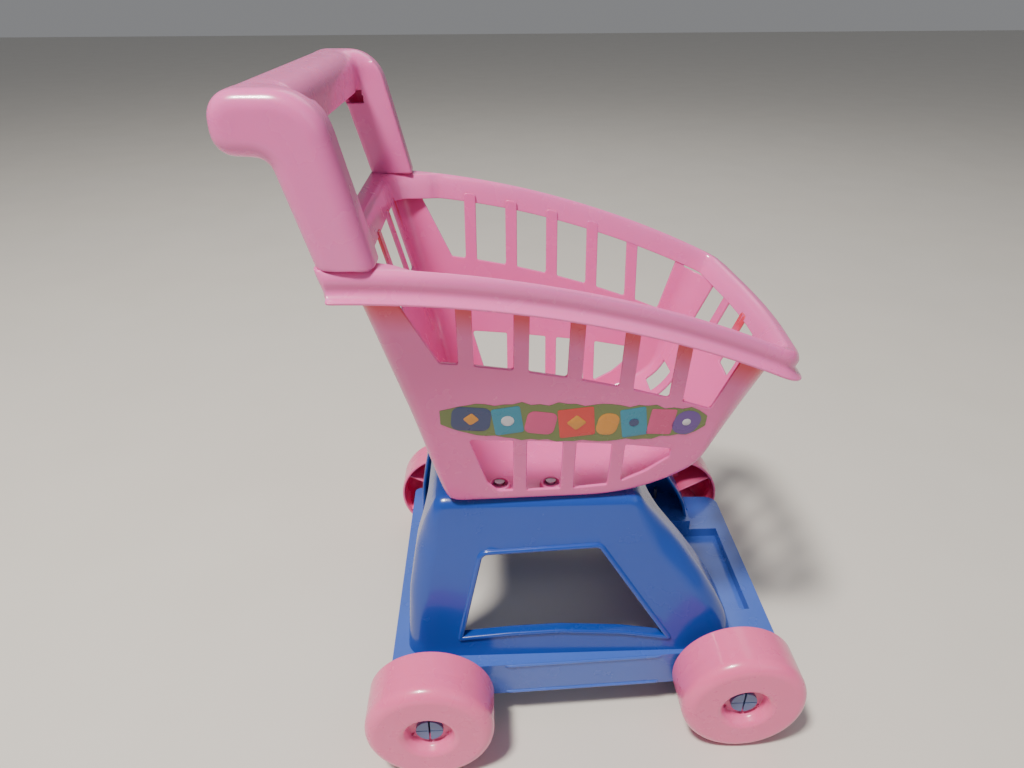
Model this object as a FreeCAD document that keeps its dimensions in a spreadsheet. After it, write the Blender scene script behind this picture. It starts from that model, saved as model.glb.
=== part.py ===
import FreeCAD, Part

import math
import os
import re

import Sketcher
from FreeCAD import Rotation, Vector

# A toy supermarket trolley in moulded plastic, in millimetres.
# +X is the way it rolls, +Y its left side, +Z up. The floor is z = 0.
# Every shape is drawn about the middle of the wheelbase, then moved along X by "row_shift",
# so that the origin is on the floor under the middle of the whole object.

DRIVING = {
    # wheels and pins
    "wheel_radius": 50.0,
    "wheel_width": 40.0,
    "wheelbase": 249.5,
    "rear_half_track": 127.0,
    "front_half_track": 111.6,
    "shell": 2.5,
    "shoulder_round": 19.5,
    "hub_mouth_radius": 15.5,
    "hub_mouth_round": 8.0,
    "hub_recess": 10.0,
    "hub_outer_radius": 11.5,
    "hub_inset": 2.0,
    "pin_radius": 7.0,
    "running_clearance": 0.05,
    "pin_head_radius": 10.5,
    "pin_head_height": 3.0,
    "pin_length": 58.0,
    "pin_slit": 1.4,
    "slit_reach": 23.0,
    "end_play": 0.4,
    "rib_thickness": 1.6,
    "rib_count": 6.0,
    # base frame
    "base_rear": -158.0,
    "base_front": 171.0,
    "base_rear_half": 119.0,
    "base_front_half": 105.0,
    "rail_bottom": 31.0,
    "rail_top": 66.0,
    "rail_inside_half": 84.0,
    "rear_bar_front": -122.0,
    "deck_rear": 100.0,
    "deck_step": 130.0,
    "deck_top": 55.0,
    "tray_floor": 45.0,
    "tray_half": 54.0,
    "tray_front": 158.0,
    "base_wall": 3.0,
    "boss_radius": 12.5,
    # stand
    "stand_rear": -146.0,
    "stand_front": 128.0,
    "stand_top": 207.0,
    "stand_top_rear": -116.0,
    "stand_top_front": 40.0,
    "stand_foot_half": 104.5,
    "stand_top_half": 76.0,
    "stand_wall": 3.0,
    "stand_corner": 16.0,
    "arch_half": 62.0,
    "arch_top": 186.0,
    # basket
    "basket_floor": 207.0,
    "basket_wall": 2.6,
    "wall_half": 41.0,
    "wall_taper": 0.03,
    "wall_draft": 0.17,
    "rear_wall_x": -152.0,
    "rear_wall_z": 391.0,
    "rear_wall_draft": 0.25,
    "front_wall_x": 128.0,
    "front_wall_z": 318.0,
    "front_wall_draft": 0.4,
    "front_bow": 14.0,
    "bow_round": 350.0,
    "nose_curve": 125.0,
    "rear_corner": 14.0,
    "front_corner": 24.0,
    "rim_apex_x": -200.0,
    "rim_apex_z": 412.0,
    "rim_curve": 760.0,
    "rim_depth": 17.0,
    "rim_half": 110.0,
    "rim_taper": 0.1,
    "rim_rear": -170.0,
    "rim_front": 150.0,
    "rim_lip": 3.0,
    "rim_corner": 6.0,
    "slot_depth": 67.0,
    "rear_slot_half": 78.0,
    "rear_slot_sill": 338.0,
    "rear_slat_pitch": 50.0,
    "front_slot_half": 64.0,
    "front_slot_sill": 284.0,
    "nose_slot_low": 230.0,
    "nose_slot_high": 249.0,
    "lower_slot_floor": 9.0,
    "lower_slot_height": 64.0,
    "slat_width": 10.0,
    "slat_pitch": 35.5,
    "first_slat": -87.5,
    # handle
    "handle_half": 127.0,
    "handle_arm": 24.0,
    "handle_top": 505.0,
    "handle_back": -212.0,
    "handle_wall": 2.6,
    "handle_round": 8.0,
    # label and fasteners
    "label_thickness": 0.4,
    "screw_radius": 1.75,
    "screw_head_radius": 4.0,
    "screw_head_height": 2.5,
    "screw_length": 16.0,
}

Z_AXIS = Vector(0, 0, 1)
SIDES = {"right": -1, "left": 1}
FAR = 600.0

doc = FreeCAD.newDocument("ToyTrolley")
sheet = doc.addObject("Spreadsheet::Sheet", "Dims")
for row, (alias, value) in enumerate(DRIVING.items(), start=1):
    sheet.set(f"A{row}", alias)
    sheet.set(f"B{row}", str(value))
    sheet.setAlias(f"B{row}", alias)
doc.recompute()

nodes = []


def size(alias):
    """Read one driving dimension from the sheet."""
    return float(sheet.get(alias))


def cells(expression):
    """Point the driving dimensions named in an expression at the sheet's cells."""
    return re.sub(r"[a-z_]+", lambda word: f"Dims.{word[0]}" if word[0] in DRIVING else word[0], expression)


# The origin lies midway between the back of the grip and the front of the front wheels.
ROW_SHIFT = -(size("handle_back") + size("wheelbase") / 2 + size("wheel_radius")) / 2


def finish(obj, label, place=Vector(0, 0, 0), turn=0.0):
    """Label a finished sub-part, turn it about Z and put it in the row's frame."""
    obj.Label = label
    obj.Placement = FreeCAD.Placement(place + Vector(ROW_SHIFT, 0, 0), Rotation(Z_AXIS, turn))
    nodes.append(obj)
    return obj


def origin_plane(body, role):
    """Find one of a body's own origin planes."""
    return next(feature for feature in body.Origin.OriginFeatures if feature.Role == role)


def polygon_sketch(body, name, role, corners, offset=None):
    """Closed polygon whose corners are pairs of expressions of the sheet's cells."""
    sketch = body.newObject("Sketcher::SketchObject", name)
    sketch.AttachmentSupport = [(origin_plane(body, role), "")]
    sketch.MapMode = "FlatFace"
    if offset:
        sketch.setExpression("AttachmentOffset.Base.z", cells(offset))
    count = len(corners)
    turns = [math.tau * i / count for i in range(count)]
    start = [Vector(50 * math.cos(turn), 50 * math.sin(turn), 0) for turn in turns]
    for i in range(count):
        sketch.addGeometry(Part.LineSegment(start[i], start[(i + 1) % count]), False)
    for i in range(count):
        sketch.addConstraint(Sketcher.Constraint("Coincident", i, 2, (i + 1) % count, 1))
    for i, pair in enumerate(corners):
        for kind, expression, value in zip(("DistanceX", "DistanceY"), pair, start[i]):
            index = sketch.addConstraint(Sketcher.Constraint(kind, -1, 1, i, 1, value))
            sketch.setExpression(f"Constraints[{index}]", cells(expression))
    return sketch


def rectangle(low, high):
    """The four corners of a rectangle from two opposite corners' expressions."""
    return [(low[0], low[1]), (high[0], low[1]), (high[0], high[1]), (low[0], high[1])]


def extrude(body, kind, name, sketch, length=None, symmetric=False):
    """Pad or pocket a sketch by an expression, or cut through everything if no length is given."""
    before = body.Tip.Shape.Volume if body.Tip else 0.0
    feature = body.newObject(f"PartDesign::{kind}", name)
    feature.Profile = sketch
    if symmetric:
        feature.SideType = "Symmetric"
    if length:
        feature.setExpression("Length", cells(length))
    else:
        feature.Type = "ThroughAll"
    doc.recompute()
    if abs(feature.Shape.Volume - before) < 1.0:
        raise RuntimeError(f"{body.Name}: {name} changed nothing")
    return feature


def dress_up(body, kind, name, wanted, amount):
    """Fillet the edges of a body's tip that pass a test by an expression."""
    base = body.Tip
    edges = [f"Edge{i}" for i, edge in enumerate(base.Shape.Edges, start=1) if wanted(edge)]
    feature = body.newObject(f"PartDesign::{kind}", name)
    feature.Base = (base, edges)
    feature.setExpression("Radius" if kind == "Fillet" else "Size", cells(amount))
    doc.recompute()
    return feature


def ring_edge(radius, height):
    """Test for a full circle of one radius at one height along the body's Y axis."""

    def wanted(edge):
        curve = edge.Curve
        if not isinstance(curve, Part.Circle):
            return False
        return abs(curve.Radius - radius) < 0.01 and abs(curve.Center.y - height) < 0.01

    return wanted


# ---------------------------------------------------------------- wheels and pins

def build_wheel(label, place, turn):
    """Hollow doughnut wheel, open on the inner side, with a hub tube and radial ribs.

    The wheel is drawn about the Y axis, from y = 0 on the inner side to y = wheel_width outside.
    """
    body = doc.addObject("PartDesign::Body", label)
    wall_radius = "hub_mouth_radius + shell"
    section = polygon_sketch(body, f"{label}_section", "XY_Plane", [
        ("wheel_radius", "0"),
        ("wheel_radius", "wheel_width"),
        ("hub_mouth_radius", "wheel_width"),
        ("hub_mouth_radius", "wheel_width - hub_recess"),
        ("pin_radius + running_clearance", "wheel_width - hub_recess"),
        ("pin_radius + running_clearance", "hub_inset"),
        ("hub_outer_radius", "hub_inset"),
        ("hub_outer_radius", "wheel_width - hub_recess - shell"),
        (wall_radius, "wheel_width - hub_recess - shell"),
        (wall_radius, "wheel_width - shell"),
        ("wheel_radius - shell", "wheel_width - shell"),
        ("wheel_radius - shell", "0"),
    ])
    revolution = body.newObject("PartDesign::Revolution", f"{label}_shell")
    revolution.Profile = section
    revolution.ReferenceAxis = (section, ["V_Axis"])
    revolution.Angle = 360
    doc.recompute()
    outside = size("wheel_width")
    inside = outside - size("shell")
    shoulder, mouth = size("wheel_radius"), size("hub_mouth_radius")
    rounds = [
        ("shoulder", ring_edge(shoulder, outside), "shoulder_round"),
        ("mouth", ring_edge(mouth, outside), "hub_mouth_round"),
        ("shoulder_inside", ring_edge(shoulder - size("shell"), inside), "shoulder_round - shell"),
        ("mouth_inside", ring_edge(mouth + size("shell"), inside), "hub_mouth_round - shell"),
    ]
    for name, wanted, radius in rounds:
        dress_up(body, "Fillet", f"{label}_{name}", wanted, radius)
    rib_outline = polygon_sketch(
        body, f"{label}_rib_outline", "XY_Plane",
        rectangle(
            ("hub_outer_radius - 0.5", "hub_inset + 2"),
            ("wheel_radius - shell / 2", "wheel_width - shoulder_round"),
        ),
    )
    rib = extrude(body, "Pad", f"{label}_rib", rib_outline, "rib_thickness", symmetric=True)
    ribs = body.newObject("PartDesign::PolarPattern", f"{label}_ribs")
    ribs.Originals = [rib]
    ribs.Axis = (rib_outline, ["V_Axis"])
    ribs.Angle = 360
    ribs.setExpression("Occurrences", cells("rib_count"))
    body.Tip = ribs
    doc.recompute()
    return finish(body, label, place, turn)


def bound_cylinder(name, radius, height, at):
    """Cylinder along +Y from y = at, its sizes expressions of the sheet."""
    cylinder = doc.addObject("Part::Cylinder", name)
    cylinder.Placement.Rotation = Rotation(Vector(1, 0, 0), -90)
    cylinder.setExpression("Radius", cells(radius))
    cylinder.setExpression("Height", cells(height))
    cylinder.setExpression("Placement.Base.y", cells(at))
    return cylinder


def build_pin(label, place, turn):
    """Snap pin: a shaft, a round head in the wheel's recess, and a cross slit that lets it flex."""
    seat = "wheel_width - hub_recess + end_play"
    shaft = bound_cylinder(f"{label}_shaft", "pin_radius", "pin_length", f"{seat} - pin_length")
    head = bound_cylinder(f"{label}_head", "pin_head_radius", "pin_head_height", seat)
    blank = doc.addObject("Part::MultiFuse", f"{label}_blank")
    blank.Shapes = [shaft, head]
    slits = []
    arms = (("upright", "pin_slit", "slit_reach"), ("level", "slit_reach", "pin_slit / 2"))
    for name, length, height in arms:
        slit = doc.addObject("Part::Box", f"{label}_{name}_slit")
        slit.setExpression("Length", cells(length))
        slit.setExpression("Width", cells("pin_head_height * 4"))
        slit.setExpression("Height", cells(height))
        slit.setExpression("Placement.Base.x", cells(f"-({length}) / 2"))
        slit.setExpression("Placement.Base.y", cells(f"{seat} - pin_head_height * 2"))
        slit.setExpression("Placement.Base.z", cells(f"-({height}) / 2"))
        slits.append(slit)
    cross = doc.addObject("Part::MultiFuse", f"{label}_cross")
    cross.Shapes = slits
    pin = doc.addObject("Part::Cut", label)
    pin.Base = blank
    pin.Tool = cross
    doc.recompute()
    return finish(pin, label, place, turn)


for end, along, half_track in (
    ("rear", -size("wheelbase") / 2, size("rear_half_track")),
    ("front", size("wheelbase") / 2, size("front_half_track")),
):
    for side, sign in SIDES.items():
        axle_end = Vector(along, sign * half_track, size("wheel_radius"))
        half_turn = 0.0 if sign > 0 else 180.0
        build_wheel(f"wheel_{end}_{side}", axle_end, half_turn)
        build_pin(f"pin_{end}_{side}", axle_end, half_turn)


# ---------------------------------------------------------------- base frame

def upright_edge(low, high):
    """Test for a straight upright edge whose X lies between two values."""

    def wanted(edge):
        if not isinstance(edge.Curve, Part.Line):
            return False
        first, second = edge.Vertexes[0].Point, edge.Vertexes[-1].Point
        upright = math.hypot(first.x - second.x, first.y - second.y) < 0.01
        return upright and low < first.x < high

    return wanted


def hollow_out(body, name, bottom, wall):
    """Hollow a body to an even wall, open at its flat bottom."""
    base = body.Tip
    open_faces = []
    for i, face in enumerate(base.Shape.Faces, start=1):
        if abs(face.CenterOfMass.z - bottom) < 0.01:
            open_faces.append(f"Face{i}")
    hollow = body.newObject("PartDesign::Thickness", name)
    hollow.Base = (base, open_faces)
    hollow.setExpression("Value", cells(wall))
    hollow.Reversed = True
    doc.recompute()
    return hollow


def add_boss(body, name, along, mouth, depth, sign):
    """Round boss from a rail to a wheel's hub, with a bore that grips the pin."""
    bore = "pin_length - wheel_width + hub_recess + hub_inset"
    for kind, radius, start, length in (
        ("AdditiveCylinder", "boss_radius", mouth, depth),
        ("SubtractiveCylinder", "pin_radius", f"{mouth} + {sign} * end_play", bore),
    ):
        cylinder = body.newObject(f"PartDesign::{kind}", f"{name}_{kind}")
        cylinder.AttachmentSupport = [(origin_plane(body, "XZ_Plane"), "")]
        cylinder.MapMode = "FlatFace"
        cylinder.setExpression("Radius", cells(radius))
        cylinder.setExpression("Height", cells(length))
        cylinder.setExpression("AttachmentOffset.Base.x", cells(along))
        cylinder.setExpression("AttachmentOffset.Base.y", cells("wheel_radius"))
        inner = start if sign < 0 else f"{start} - ({length})"
        cylinder.setExpression("AttachmentOffset.Base.z", cells(f"-({inner}) - ({length})"))
        doc.recompute()


def build_base_frame():
    """Open-bottomed tray: side rails, rear bar, a lower front deck with a recess, and pin bosses."""
    body = doc.addObject("PartDesign::Body", "base_frame")
    outline = polygon_sketch(body, "base_outline", "XY_Plane", [
        ("base_rear", "-base_rear_half"),
        ("base_front", "-base_front_half"),
        ("base_front", "base_front_half"),
        ("base_rear", "base_rear_half"),
    ], offset="rail_bottom")
    extrude(body, "Pad", "base_block", outline, "rail_top - rail_bottom")
    deck = polygon_sketch(body, "deck_outline", "XY_Plane", rectangle(
        ("deck_step", "-base_rear_half"), ("base_front + 5", "base_rear_half")), offset="rail_top")
    extrude(body, "Pocket", "deck_drop", deck, "rail_top - deck_top")
    tray = polygon_sketch(body, "tray_outline", "XY_Plane", rectangle(
        ("deck_rear", "-tray_half"), ("tray_front", "tray_half")), offset="rail_top")
    extrude(body, "Pocket", "tray_recess", tray, "rail_top - tray_floor")
    middle = polygon_sketch(body, "middle_outline", "XY_Plane", rectangle(
        ("rear_bar_front", "-rail_inside_half"), ("deck_rear - 8", "rail_inside_half")), offset="rail_top")
    extrude(body, "Pocket", "middle_opening", middle)
    front = size("base_front")
    dress_up(body, "Fillet", "front_corners", upright_edge(front - 1, front + 1), "base_wall * 4")
    rear = size("base_rear")
    dress_up(body, "Fillet", "rear_corners", upright_edge(rear - 1, rear + 1), "base_wall * 2")
    hollow_out(body, "base_hollow", size("rail_bottom"), "base_wall")
    for end, along, half_track, half_base in (
        ("rear", "-wheelbase / 2", "rear_half_track", "base_rear_half"),
        ("front", "wheelbase / 2", "front_half_track", "base_front_half"),
    ):
        for side, sign in SIDES.items():
            mouth = f"{sign} * ({half_track} + hub_inset - end_play)"
            depth = f"{half_track} + hub_inset - end_play - rail_inside_half"
            add_boss(body, f"boss_{end}_{side}", along, mouth, depth, sign)
    stations = ("stand_rear + 14", "deck_rear + 1")
    for i, along in enumerate(stations):
        for side, sign in SIDES.items():
            hole = body.newObject("PartDesign::SubtractiveCylinder", f"screw_hole_{side}_{i}")
            hole.AttachmentSupport = [(origin_plane(body, "XY_Plane"), "")]
            hole.MapMode = "FlatFace"
            hole.setExpression("Radius", cells("screw_radius"))
            hole.setExpression("Height", cells("base_wall * 3"))
            hole.setExpression("AttachmentOffset.Base.x", cells(along))
            hole.setExpression("AttachmentOffset.Base.y", cells(f"{sign} * (stand_foot_half - 12)"))
            hole.setExpression("AttachmentOffset.Base.z", cells("rail_top - base_wall * 2"))
    doc.recompute()
    return finish(body, "base_frame")


build_base_frame()


# ---------------------------------------------------------------- stand

def prism_along_y(corners, reach=FAR):
    """Prism centred on y = 0 from a polygon of (x, z) corners."""
    points = [Vector(x, -reach / 2, z) for x, z in corners]
    return Part.Face(Part.makePolygon(points + points[:1])).extrude(Vector(0, reach, 0))


def prism_along_x(corners, reach=FAR):
    """Prism centred on x = 0 from a polygon of (y, z) corners."""
    points = [Vector(-reach / 2, y, z) for y, z in corners]
    return Part.Face(Part.makePolygon(points + points[:1])).extrude(Vector(reach, 0, 0))


def rounded_wire(corners, radii):
    """Closed wire through corners, each rounded to its own radius, or sharp where that is zero."""
    edges = []
    count = len(corners)
    tangents = []
    for i, (corner, radius) in enumerate(zip(corners, radii)):
        if not radius:
            tangents.append((corner, None, corner))
            continue
        back = (corners[i - 1] - corner).normalize()
        ahead = (corners[(i + 1) % count] - corner).normalize()
        half_angle = back.getAngle(ahead) / 2
        reach = radius / math.tan(half_angle)
        middle = corner + (back + ahead).normalize() * (radius / math.sin(half_angle) - radius)
        tangents.append((corner + back * reach, middle, corner + ahead * reach))
    for i, (start, middle, end) in enumerate(tangents):
        if middle:
            edges.append(Part.Arc(start, middle, end).toShape())
        edges.append(Part.LineSegment(end, tangents[(i + 1) % count][0]).toShape())
    return Part.Wire(edges)


def stand_levels():
    """Height, rear and front of the stand's outline at each level where its profile turns."""
    foot, top = size("rail_top"), size("stand_top")
    return [
        (foot, size("stand_rear"), size("stand_front")),
        (foot + 56, size("stand_rear") + 4, size("stand_front") - 34),
        (foot + 99, size("stand_rear") + 12, size("stand_front") - 60),
        (top, size("stand_top_rear"), size("stand_top_front")),
    ]


def stand_block(inset):
    """Solid tapering block of the stand's outside, or of its inside at the wall's inset."""
    foot, top = size("rail_top"), size("stand_top")
    foot_half, top_half = size("stand_foot_half"), size("stand_top_half")
    radius = size("stand_corner") - inset
    wires = []
    for height, rear, front in stand_levels():
        half = foot_half + (top_half - foot_half) * (height - foot) / (top - foot) - inset
        level = top - inset if height == top else height
        corners = [
            Vector(rear + inset, -half, level),
            Vector(front - inset, -half, level),
            Vector(front - inset, half, level),
            Vector(rear + inset, half, level),
        ]
        wires.append(rounded_wire(corners, [radius] * 4))
    block = Part.makeLoft(wires, True, True)
    if inset:
        block = block.fuse(Part.Face(wires[0]).extrude(Vector(0, 0, -10)))
    return block


def mirrored_pairs(stations, half):
    """Points at each X station on both sides of the middle plane."""
    return [(x, sign * half) for x in stations for sign in SIDES.values()]


STAND_SCREW_STATIONS = (size("stand_rear") + 14, size("deck_rear") + 1)
STAND_SCREWS = mirrored_pairs(STAND_SCREW_STATIONS, size("stand_foot_half") - 12)
BASKET_SCREWS = mirrored_pairs((-67.0, -27.0), size("stand_top_half") - 16)


def screw(x, y, seat, up):
    """One pan-head screw with its head's underside at a height, pointing up or down."""
    direction = Vector(0, 0, 1 if up else -1)
    head_start = Vector(x, y, seat) - direction * size("screw_head_height")
    head = Part.makeCylinder(size("screw_head_radius"), size("screw_head_height"), head_start, direction)
    shank = Part.makeCylinder(size("screw_radius"), size("screw_length"), Vector(x, y, seat), direction)
    return head.fuse(shank).removeSplitter()


HANDLE_FOOT = -151.5
HANDLE_SCREW_STATIONS = (HANDLE_FOOT - 8, HANDLE_FOOT + 8)
HANDLE_SCREWS = mirrored_pairs(HANDLE_SCREW_STATIONS, size("handle_half") - size("handle_arm") / 2)
SCREW_SETS = {
    "stand_screws": (STAND_SCREWS, size("rail_top") - size("base_wall"), True),
    "basket_screws": (BASKET_SCREWS, size("basket_floor") + size("basket_wall"), False),
    "handle_screws": (HANDLE_SCREWS, size("rim_apex_z") - 5, True),
}


def screw_holes():
    """Shanks of every screw, to cut the holes that they fit."""
    direction = {True: Vector(0, 0, 1), False: Vector(0, 0, -1)}
    return [
        Part.makeCylinder(size("screw_radius"), size("screw_length"), Vector(x, y, seat), direction[up])
        for places, seat, up in SCREW_SETS.values()
        for x, y in places
    ]


def build_stand():
    """Arched stand: a tapering open-bottomed shell with two side windows and front and rear arches."""
    wall = size("stand_wall")
    foot, top = size("rail_top"), size("stand_top")
    shell = stand_block(0.0).cut(stand_block(wall))
    window = prism_along_y([
        (size("stand_rear") + 43, foot + 15),
        (size("stand_rear") + 62, foot + 97),
        (size("stand_front") - 116, foot + 101),
        (size("stand_front") - 53, foot + 13),
    ])
    half, peak = size("arch_half"), size("arch_top")
    arch = prism_along_x([
        (-half, foot - 1), (-half, peak - 30), (22 - half, peak), (half - 22, peak), (half, peak - 30),
        (half, foot - 1),
    ])
    shell = shell.cut([window, arch])
    boss = size("screw_head_radius") + 1
    posts = [Part.makeCylinder(boss, 20, Vector(x, y, foot)) for x, y in STAND_SCREWS]
    posts += [Part.makeCylinder(boss, 16, Vector(x, y, top - 16)) for x, y in BASKET_SCREWS]
    shell = shell.fuse([post.common(stand_block(0.0)) for post in posts])
    obj = doc.addObject("Part::Feature", "stand")
    obj.Shape = shell.cut(screw_holes()).removeSplitter()
    return finish(obj, "stand")


build_stand()

# ---------------------------------------------------------------- basket

def wall_wire(height, inset):
    """Plan outline of the basket's walls at one height, moved in by an inset."""
    half_at_middle = size("wall_half") + size("wall_draft") * height - inset
    rear = size("rear_wall_x") + size("rear_wall_draft") * (size("rear_wall_z") - height) + inset
    front = size("front_wall_x") + size("front_wall_draft") * (height - size("front_wall_z")) - inset
    corner_x = front - size("front_bow")
    rear_half = half_at_middle - size("wall_taper") * rear
    front_half = half_at_middle - size("wall_taper") * corner_x
    corners = [
        Vector(rear, -rear_half, height),
        Vector(corner_x, -front_half, height),
        Vector(front, 0, height),
        Vector(corner_x, front_half, height),
        Vector(rear, rear_half, height),
    ]
    rear_round, front_round = size("rear_corner") - inset, size("front_corner") - inset
    return rounded_wire(corners, [rear_round, front_round, size("bow_round"), front_round, rear_round])


def wall_block(inset):
    """Solid tapering block inside the walls' outline, higher and deeper than the basket."""
    return Part.makeLoft([wall_wire(190.0, inset), wall_wire(440.0, inset)], True, True)


def below_rim(drop):
    """Everything lower than the rim's curved top line moved down by a drop."""
    radius = size("rim_curve") - drop
    centre = Vector(size("rim_apex_x"), -FAR / 2, size("rim_apex_z") - size("rim_curve"))
    return Part.makeCylinder(radius, FAR, centre, Vector(0, 1, 0))


def above_floor(lift):
    """Everything higher than the floor, which curves up into the nose, raised by a lift."""
    radius = size("nose_curve") - lift
    floor = size("basket_floor") + lift
    centre_z = size("basket_floor") + size("nose_curve")
    flat = Part.makeBox(FAR, FAR, FAR, Vector(-FAR, -FAR / 2, floor))
    bowl = Part.makeCylinder(radius, FAR, Vector(0, -FAR / 2, centre_z), Vector(0, 1, 0))
    top = Part.makeBox(FAR, FAR, FAR, Vector(0, -FAR / 2, centre_z - radius / 2))
    return flat.fuse([bowl, top])


def span_box(x_range, y_range, z_range):
    """Box between three pairs of coordinates."""
    low = Vector(x_range[0], y_range[0], z_range[0])
    high = Vector(x_range[1], y_range[1], z_range[1])
    extent = high - low
    return Part.makeBox(extent.x, extent.y, extent.z, low)


def slat_boxes(centres, along_x, z_range):
    """Blocks that stand for the slats: left uncut between openings."""
    half = size("slat_width") / 2
    boxes = []
    for centre in centres:
        across = (centre - half, centre + half)
        if along_x:
            boxes.append(span_box((-FAR, FAR), across, z_range))
        else:
            boxes.append(span_box(across, (-FAR, FAR), z_range))
    return boxes


def side_slots():
    """Upper and lower openings of both side walls."""
    pitch, first = size("slat_pitch"), size("first_slat")
    centres = [first + pitch * i for i in range(5)]
    band = below_rim(size("rim_depth")).cut(below_rim(size("slot_depth")))
    upper = band.common(prism_along_y([(-103, 335), (-130, 392), (-20, 392), (98, 345), (80, 290)]))
    upper = upper.cut(slat_boxes(centres, False, (250, 440)))
    low = size("basket_floor") + size("lower_slot_floor")
    high = size("basket_floor") + size("lower_slot_height")
    lower = prism_along_y([(-70, low), (-89, high), (58, high - 16), (58, low)])
    lower = lower.common(above_floor(size("lower_slot_floor")))
    lower = lower.cut(slat_boxes(centres[1:4], False, (190, 300)))
    return [upper, lower]


def end_slots():
    """Upper openings of the front and rear walls and the openings in the nose."""
    under_rim = below_rim(size("rim_depth"))
    rear_half, front_half = size("rear_slot_half"), size("front_slot_half")
    rear = span_box((-200, -100), (-rear_half, rear_half), (size("rear_slot_sill"), 420))
    rear_pitch = size("rear_slat_pitch")
    rear = rear.common(under_rim).cut(slat_boxes([-rear_pitch, 0, rear_pitch], True, (300, 440)))
    pitch = size("slat_pitch")
    front_slats = slat_boxes([-pitch, 0, pitch], True, (200, 440))
    front = span_box((60, 200), (-front_half, front_half), (size("front_slot_sill"), 400))
    front = front.common(under_rim).cut(front_slats)
    nose = span_box((50, 200), (-front_half, front_half), (size("nose_slot_low"), size("nose_slot_high")))
    return [rear, front, nose.cut(front_slats)]


def rim_wire(height, inset):
    """Plan outline of the rim at one height, moved in by an inset."""
    rear, front = size("rim_rear") + inset, size("rim_front") - inset
    corner_x = front - size("front_bow")
    rear_half = size("rim_half") - size("rim_taper") * rear - inset
    front_half = size("rim_half") - size("rim_taper") * corner_x - inset
    corners = [
        Vector(rear, -rear_half, height),
        Vector(corner_x, -front_half, height),
        Vector(front, 0, height),
        Vector(corner_x, front_half, height),
        Vector(rear, rear_half, height),
    ]
    rear_round, front_round = size("rim_corner"), size("front_corner") - inset
    return rounded_wire(corners, [rear_round, front_round, size("bow_round"), front_round, rear_round])


def rim_block(inset):
    """Upright solid inside the rim's outline."""
    return Part.Face(rim_wire(280.0, inset)).extrude(Vector(0, 0, 160.0))


def build_basket():
    """One-piece basket: tapering slotted walls, floor, and an inverted-channel rim with a lip."""
    wall = size("basket_wall")
    outside, inside = wall_block(0.0), wall_block(wall)
    top = below_rim(0.0)
    shell = outside.common(above_floor(0.0)).common(top)
    shell = shell.cut(inside.common(above_floor(wall)))
    shell = shell.cut(side_slots() + end_slots())
    depth = size("rim_depth")
    ring = rim_block(0.0).common(top).cut([below_rim(depth), inside])
    channel = rim_block(wall).common(below_rim(wall)).cut([below_rim(depth + 1), outside])
    rim = ring.cut(channel)
    lip = rim_block(-size("rim_lip")).cut(rim_block(wall))
    lip = lip.common(below_rim(depth - wall)).cut(below_rim(depth))
    basket = shell.fuse([rim, lip]).cut(screw_holes()).removeSplitter()
    obj = doc.addObject("Part::Feature", "basket")
    obj.Shape = basket.Solids[0] if len(basket.Solids) == 1 else basket
    return finish(obj, "basket")


build_basket()


# ---------------------------------------------------------------- handle

def handle_profile(inset):
    """Side outline of an arm as a face: a leaning post that bends back into the grip."""
    foot = size("rim_apex_z") - 3
    top, back = size("handle_top") - inset, size("handle_back") + inset
    rounded_corners = [
        ((HANDLE_FOOT + 17 - inset, foot), 0.0),
        ((HANDLE_FOOT - 3.5 - inset, top - 8), 14.0),
        ((HANDLE_FOOT - 18, top), 12.0),
        ((back, top), 14.0),
        ((back, 473.0 + inset), 10.0),
        ((HANDLE_FOOT - 33 + inset, 471.0 + inset), 8.0),
        ((HANDLE_FOOT - 17 + inset, foot), 0.0),
    ]
    half = size("handle_half") - inset
    corners = [Vector(x, -half, z) for (x, z), _ in rounded_corners]
    return Part.Face(rounded_wire(corners, [max(radius - inset, 0.0) for _, radius in rounded_corners]))


def handle_block(inset):
    """Solid inside of the U-shaped handle's skin, moved in by an inset."""
    half, arm = size("handle_half") - inset, size("handle_arm") - inset * 2
    full = handle_profile(inset).extrude(Vector(0, half * 2, 0))

    def outer(edge):
        box = edge.BoundBox
        flat = box.YLength < 0.01 and abs(abs(box.YMin) - half) < 0.01
        return flat and box.ZMax > size("rim_apex_z")

    outer_edges = [edge for edge in full.Edges if outer(edge)]
    full = full.makeFillet(size("handle_round") - inset, outer_edges)
    inner_half = half - arm
    grip_low, grip_front = 473.0 + inset, HANDLE_FOOT - 20.5 - inset
    below = span_box((-FAR, 0), (-inner_half, inner_half), (0, grip_low))
    ahead = span_box((grip_front, 0), (-inner_half, inner_half), (grip_low - 1, FAR))
    return full.cut([below, ahead])


def build_handle():
    """U-shaped handle: two hollow arms open at their feet, joined by a grip open underneath."""
    block = handle_block(0.0)
    hollow = handle_block(size("handle_wall"))
    half, arm = size("handle_half"), size("handle_arm")
    channel = Part.makeBox(24, (half - arm) * 2, 12, Vector(-201, arm - half, 466))
    below = below_rim(0.0)
    obj = doc.addObject("Part::Feature", "handle")
    obj.Shape = block.cut([hollow, channel, below]).removeSplitter()
    return finish(obj, "handle")


def build_plugs():
    """Two spigots that fill the handle's feet and take its screws."""
    inner = handle_block(size("handle_wall"))
    slab = span_box((-190, -120), (-FAR, FAR), (380, size("rim_apex_z") + 10))
    plugs = inner.common(slab).cut([below_rim(0.0)] + screw_holes())
    obj = doc.addObject("Part::Feature", "handle_plugs")
    obj.Shape = plugs
    return finish(obj, "handle_plugs")


# ---------------------------------------------------------------- labels and screws

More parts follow.
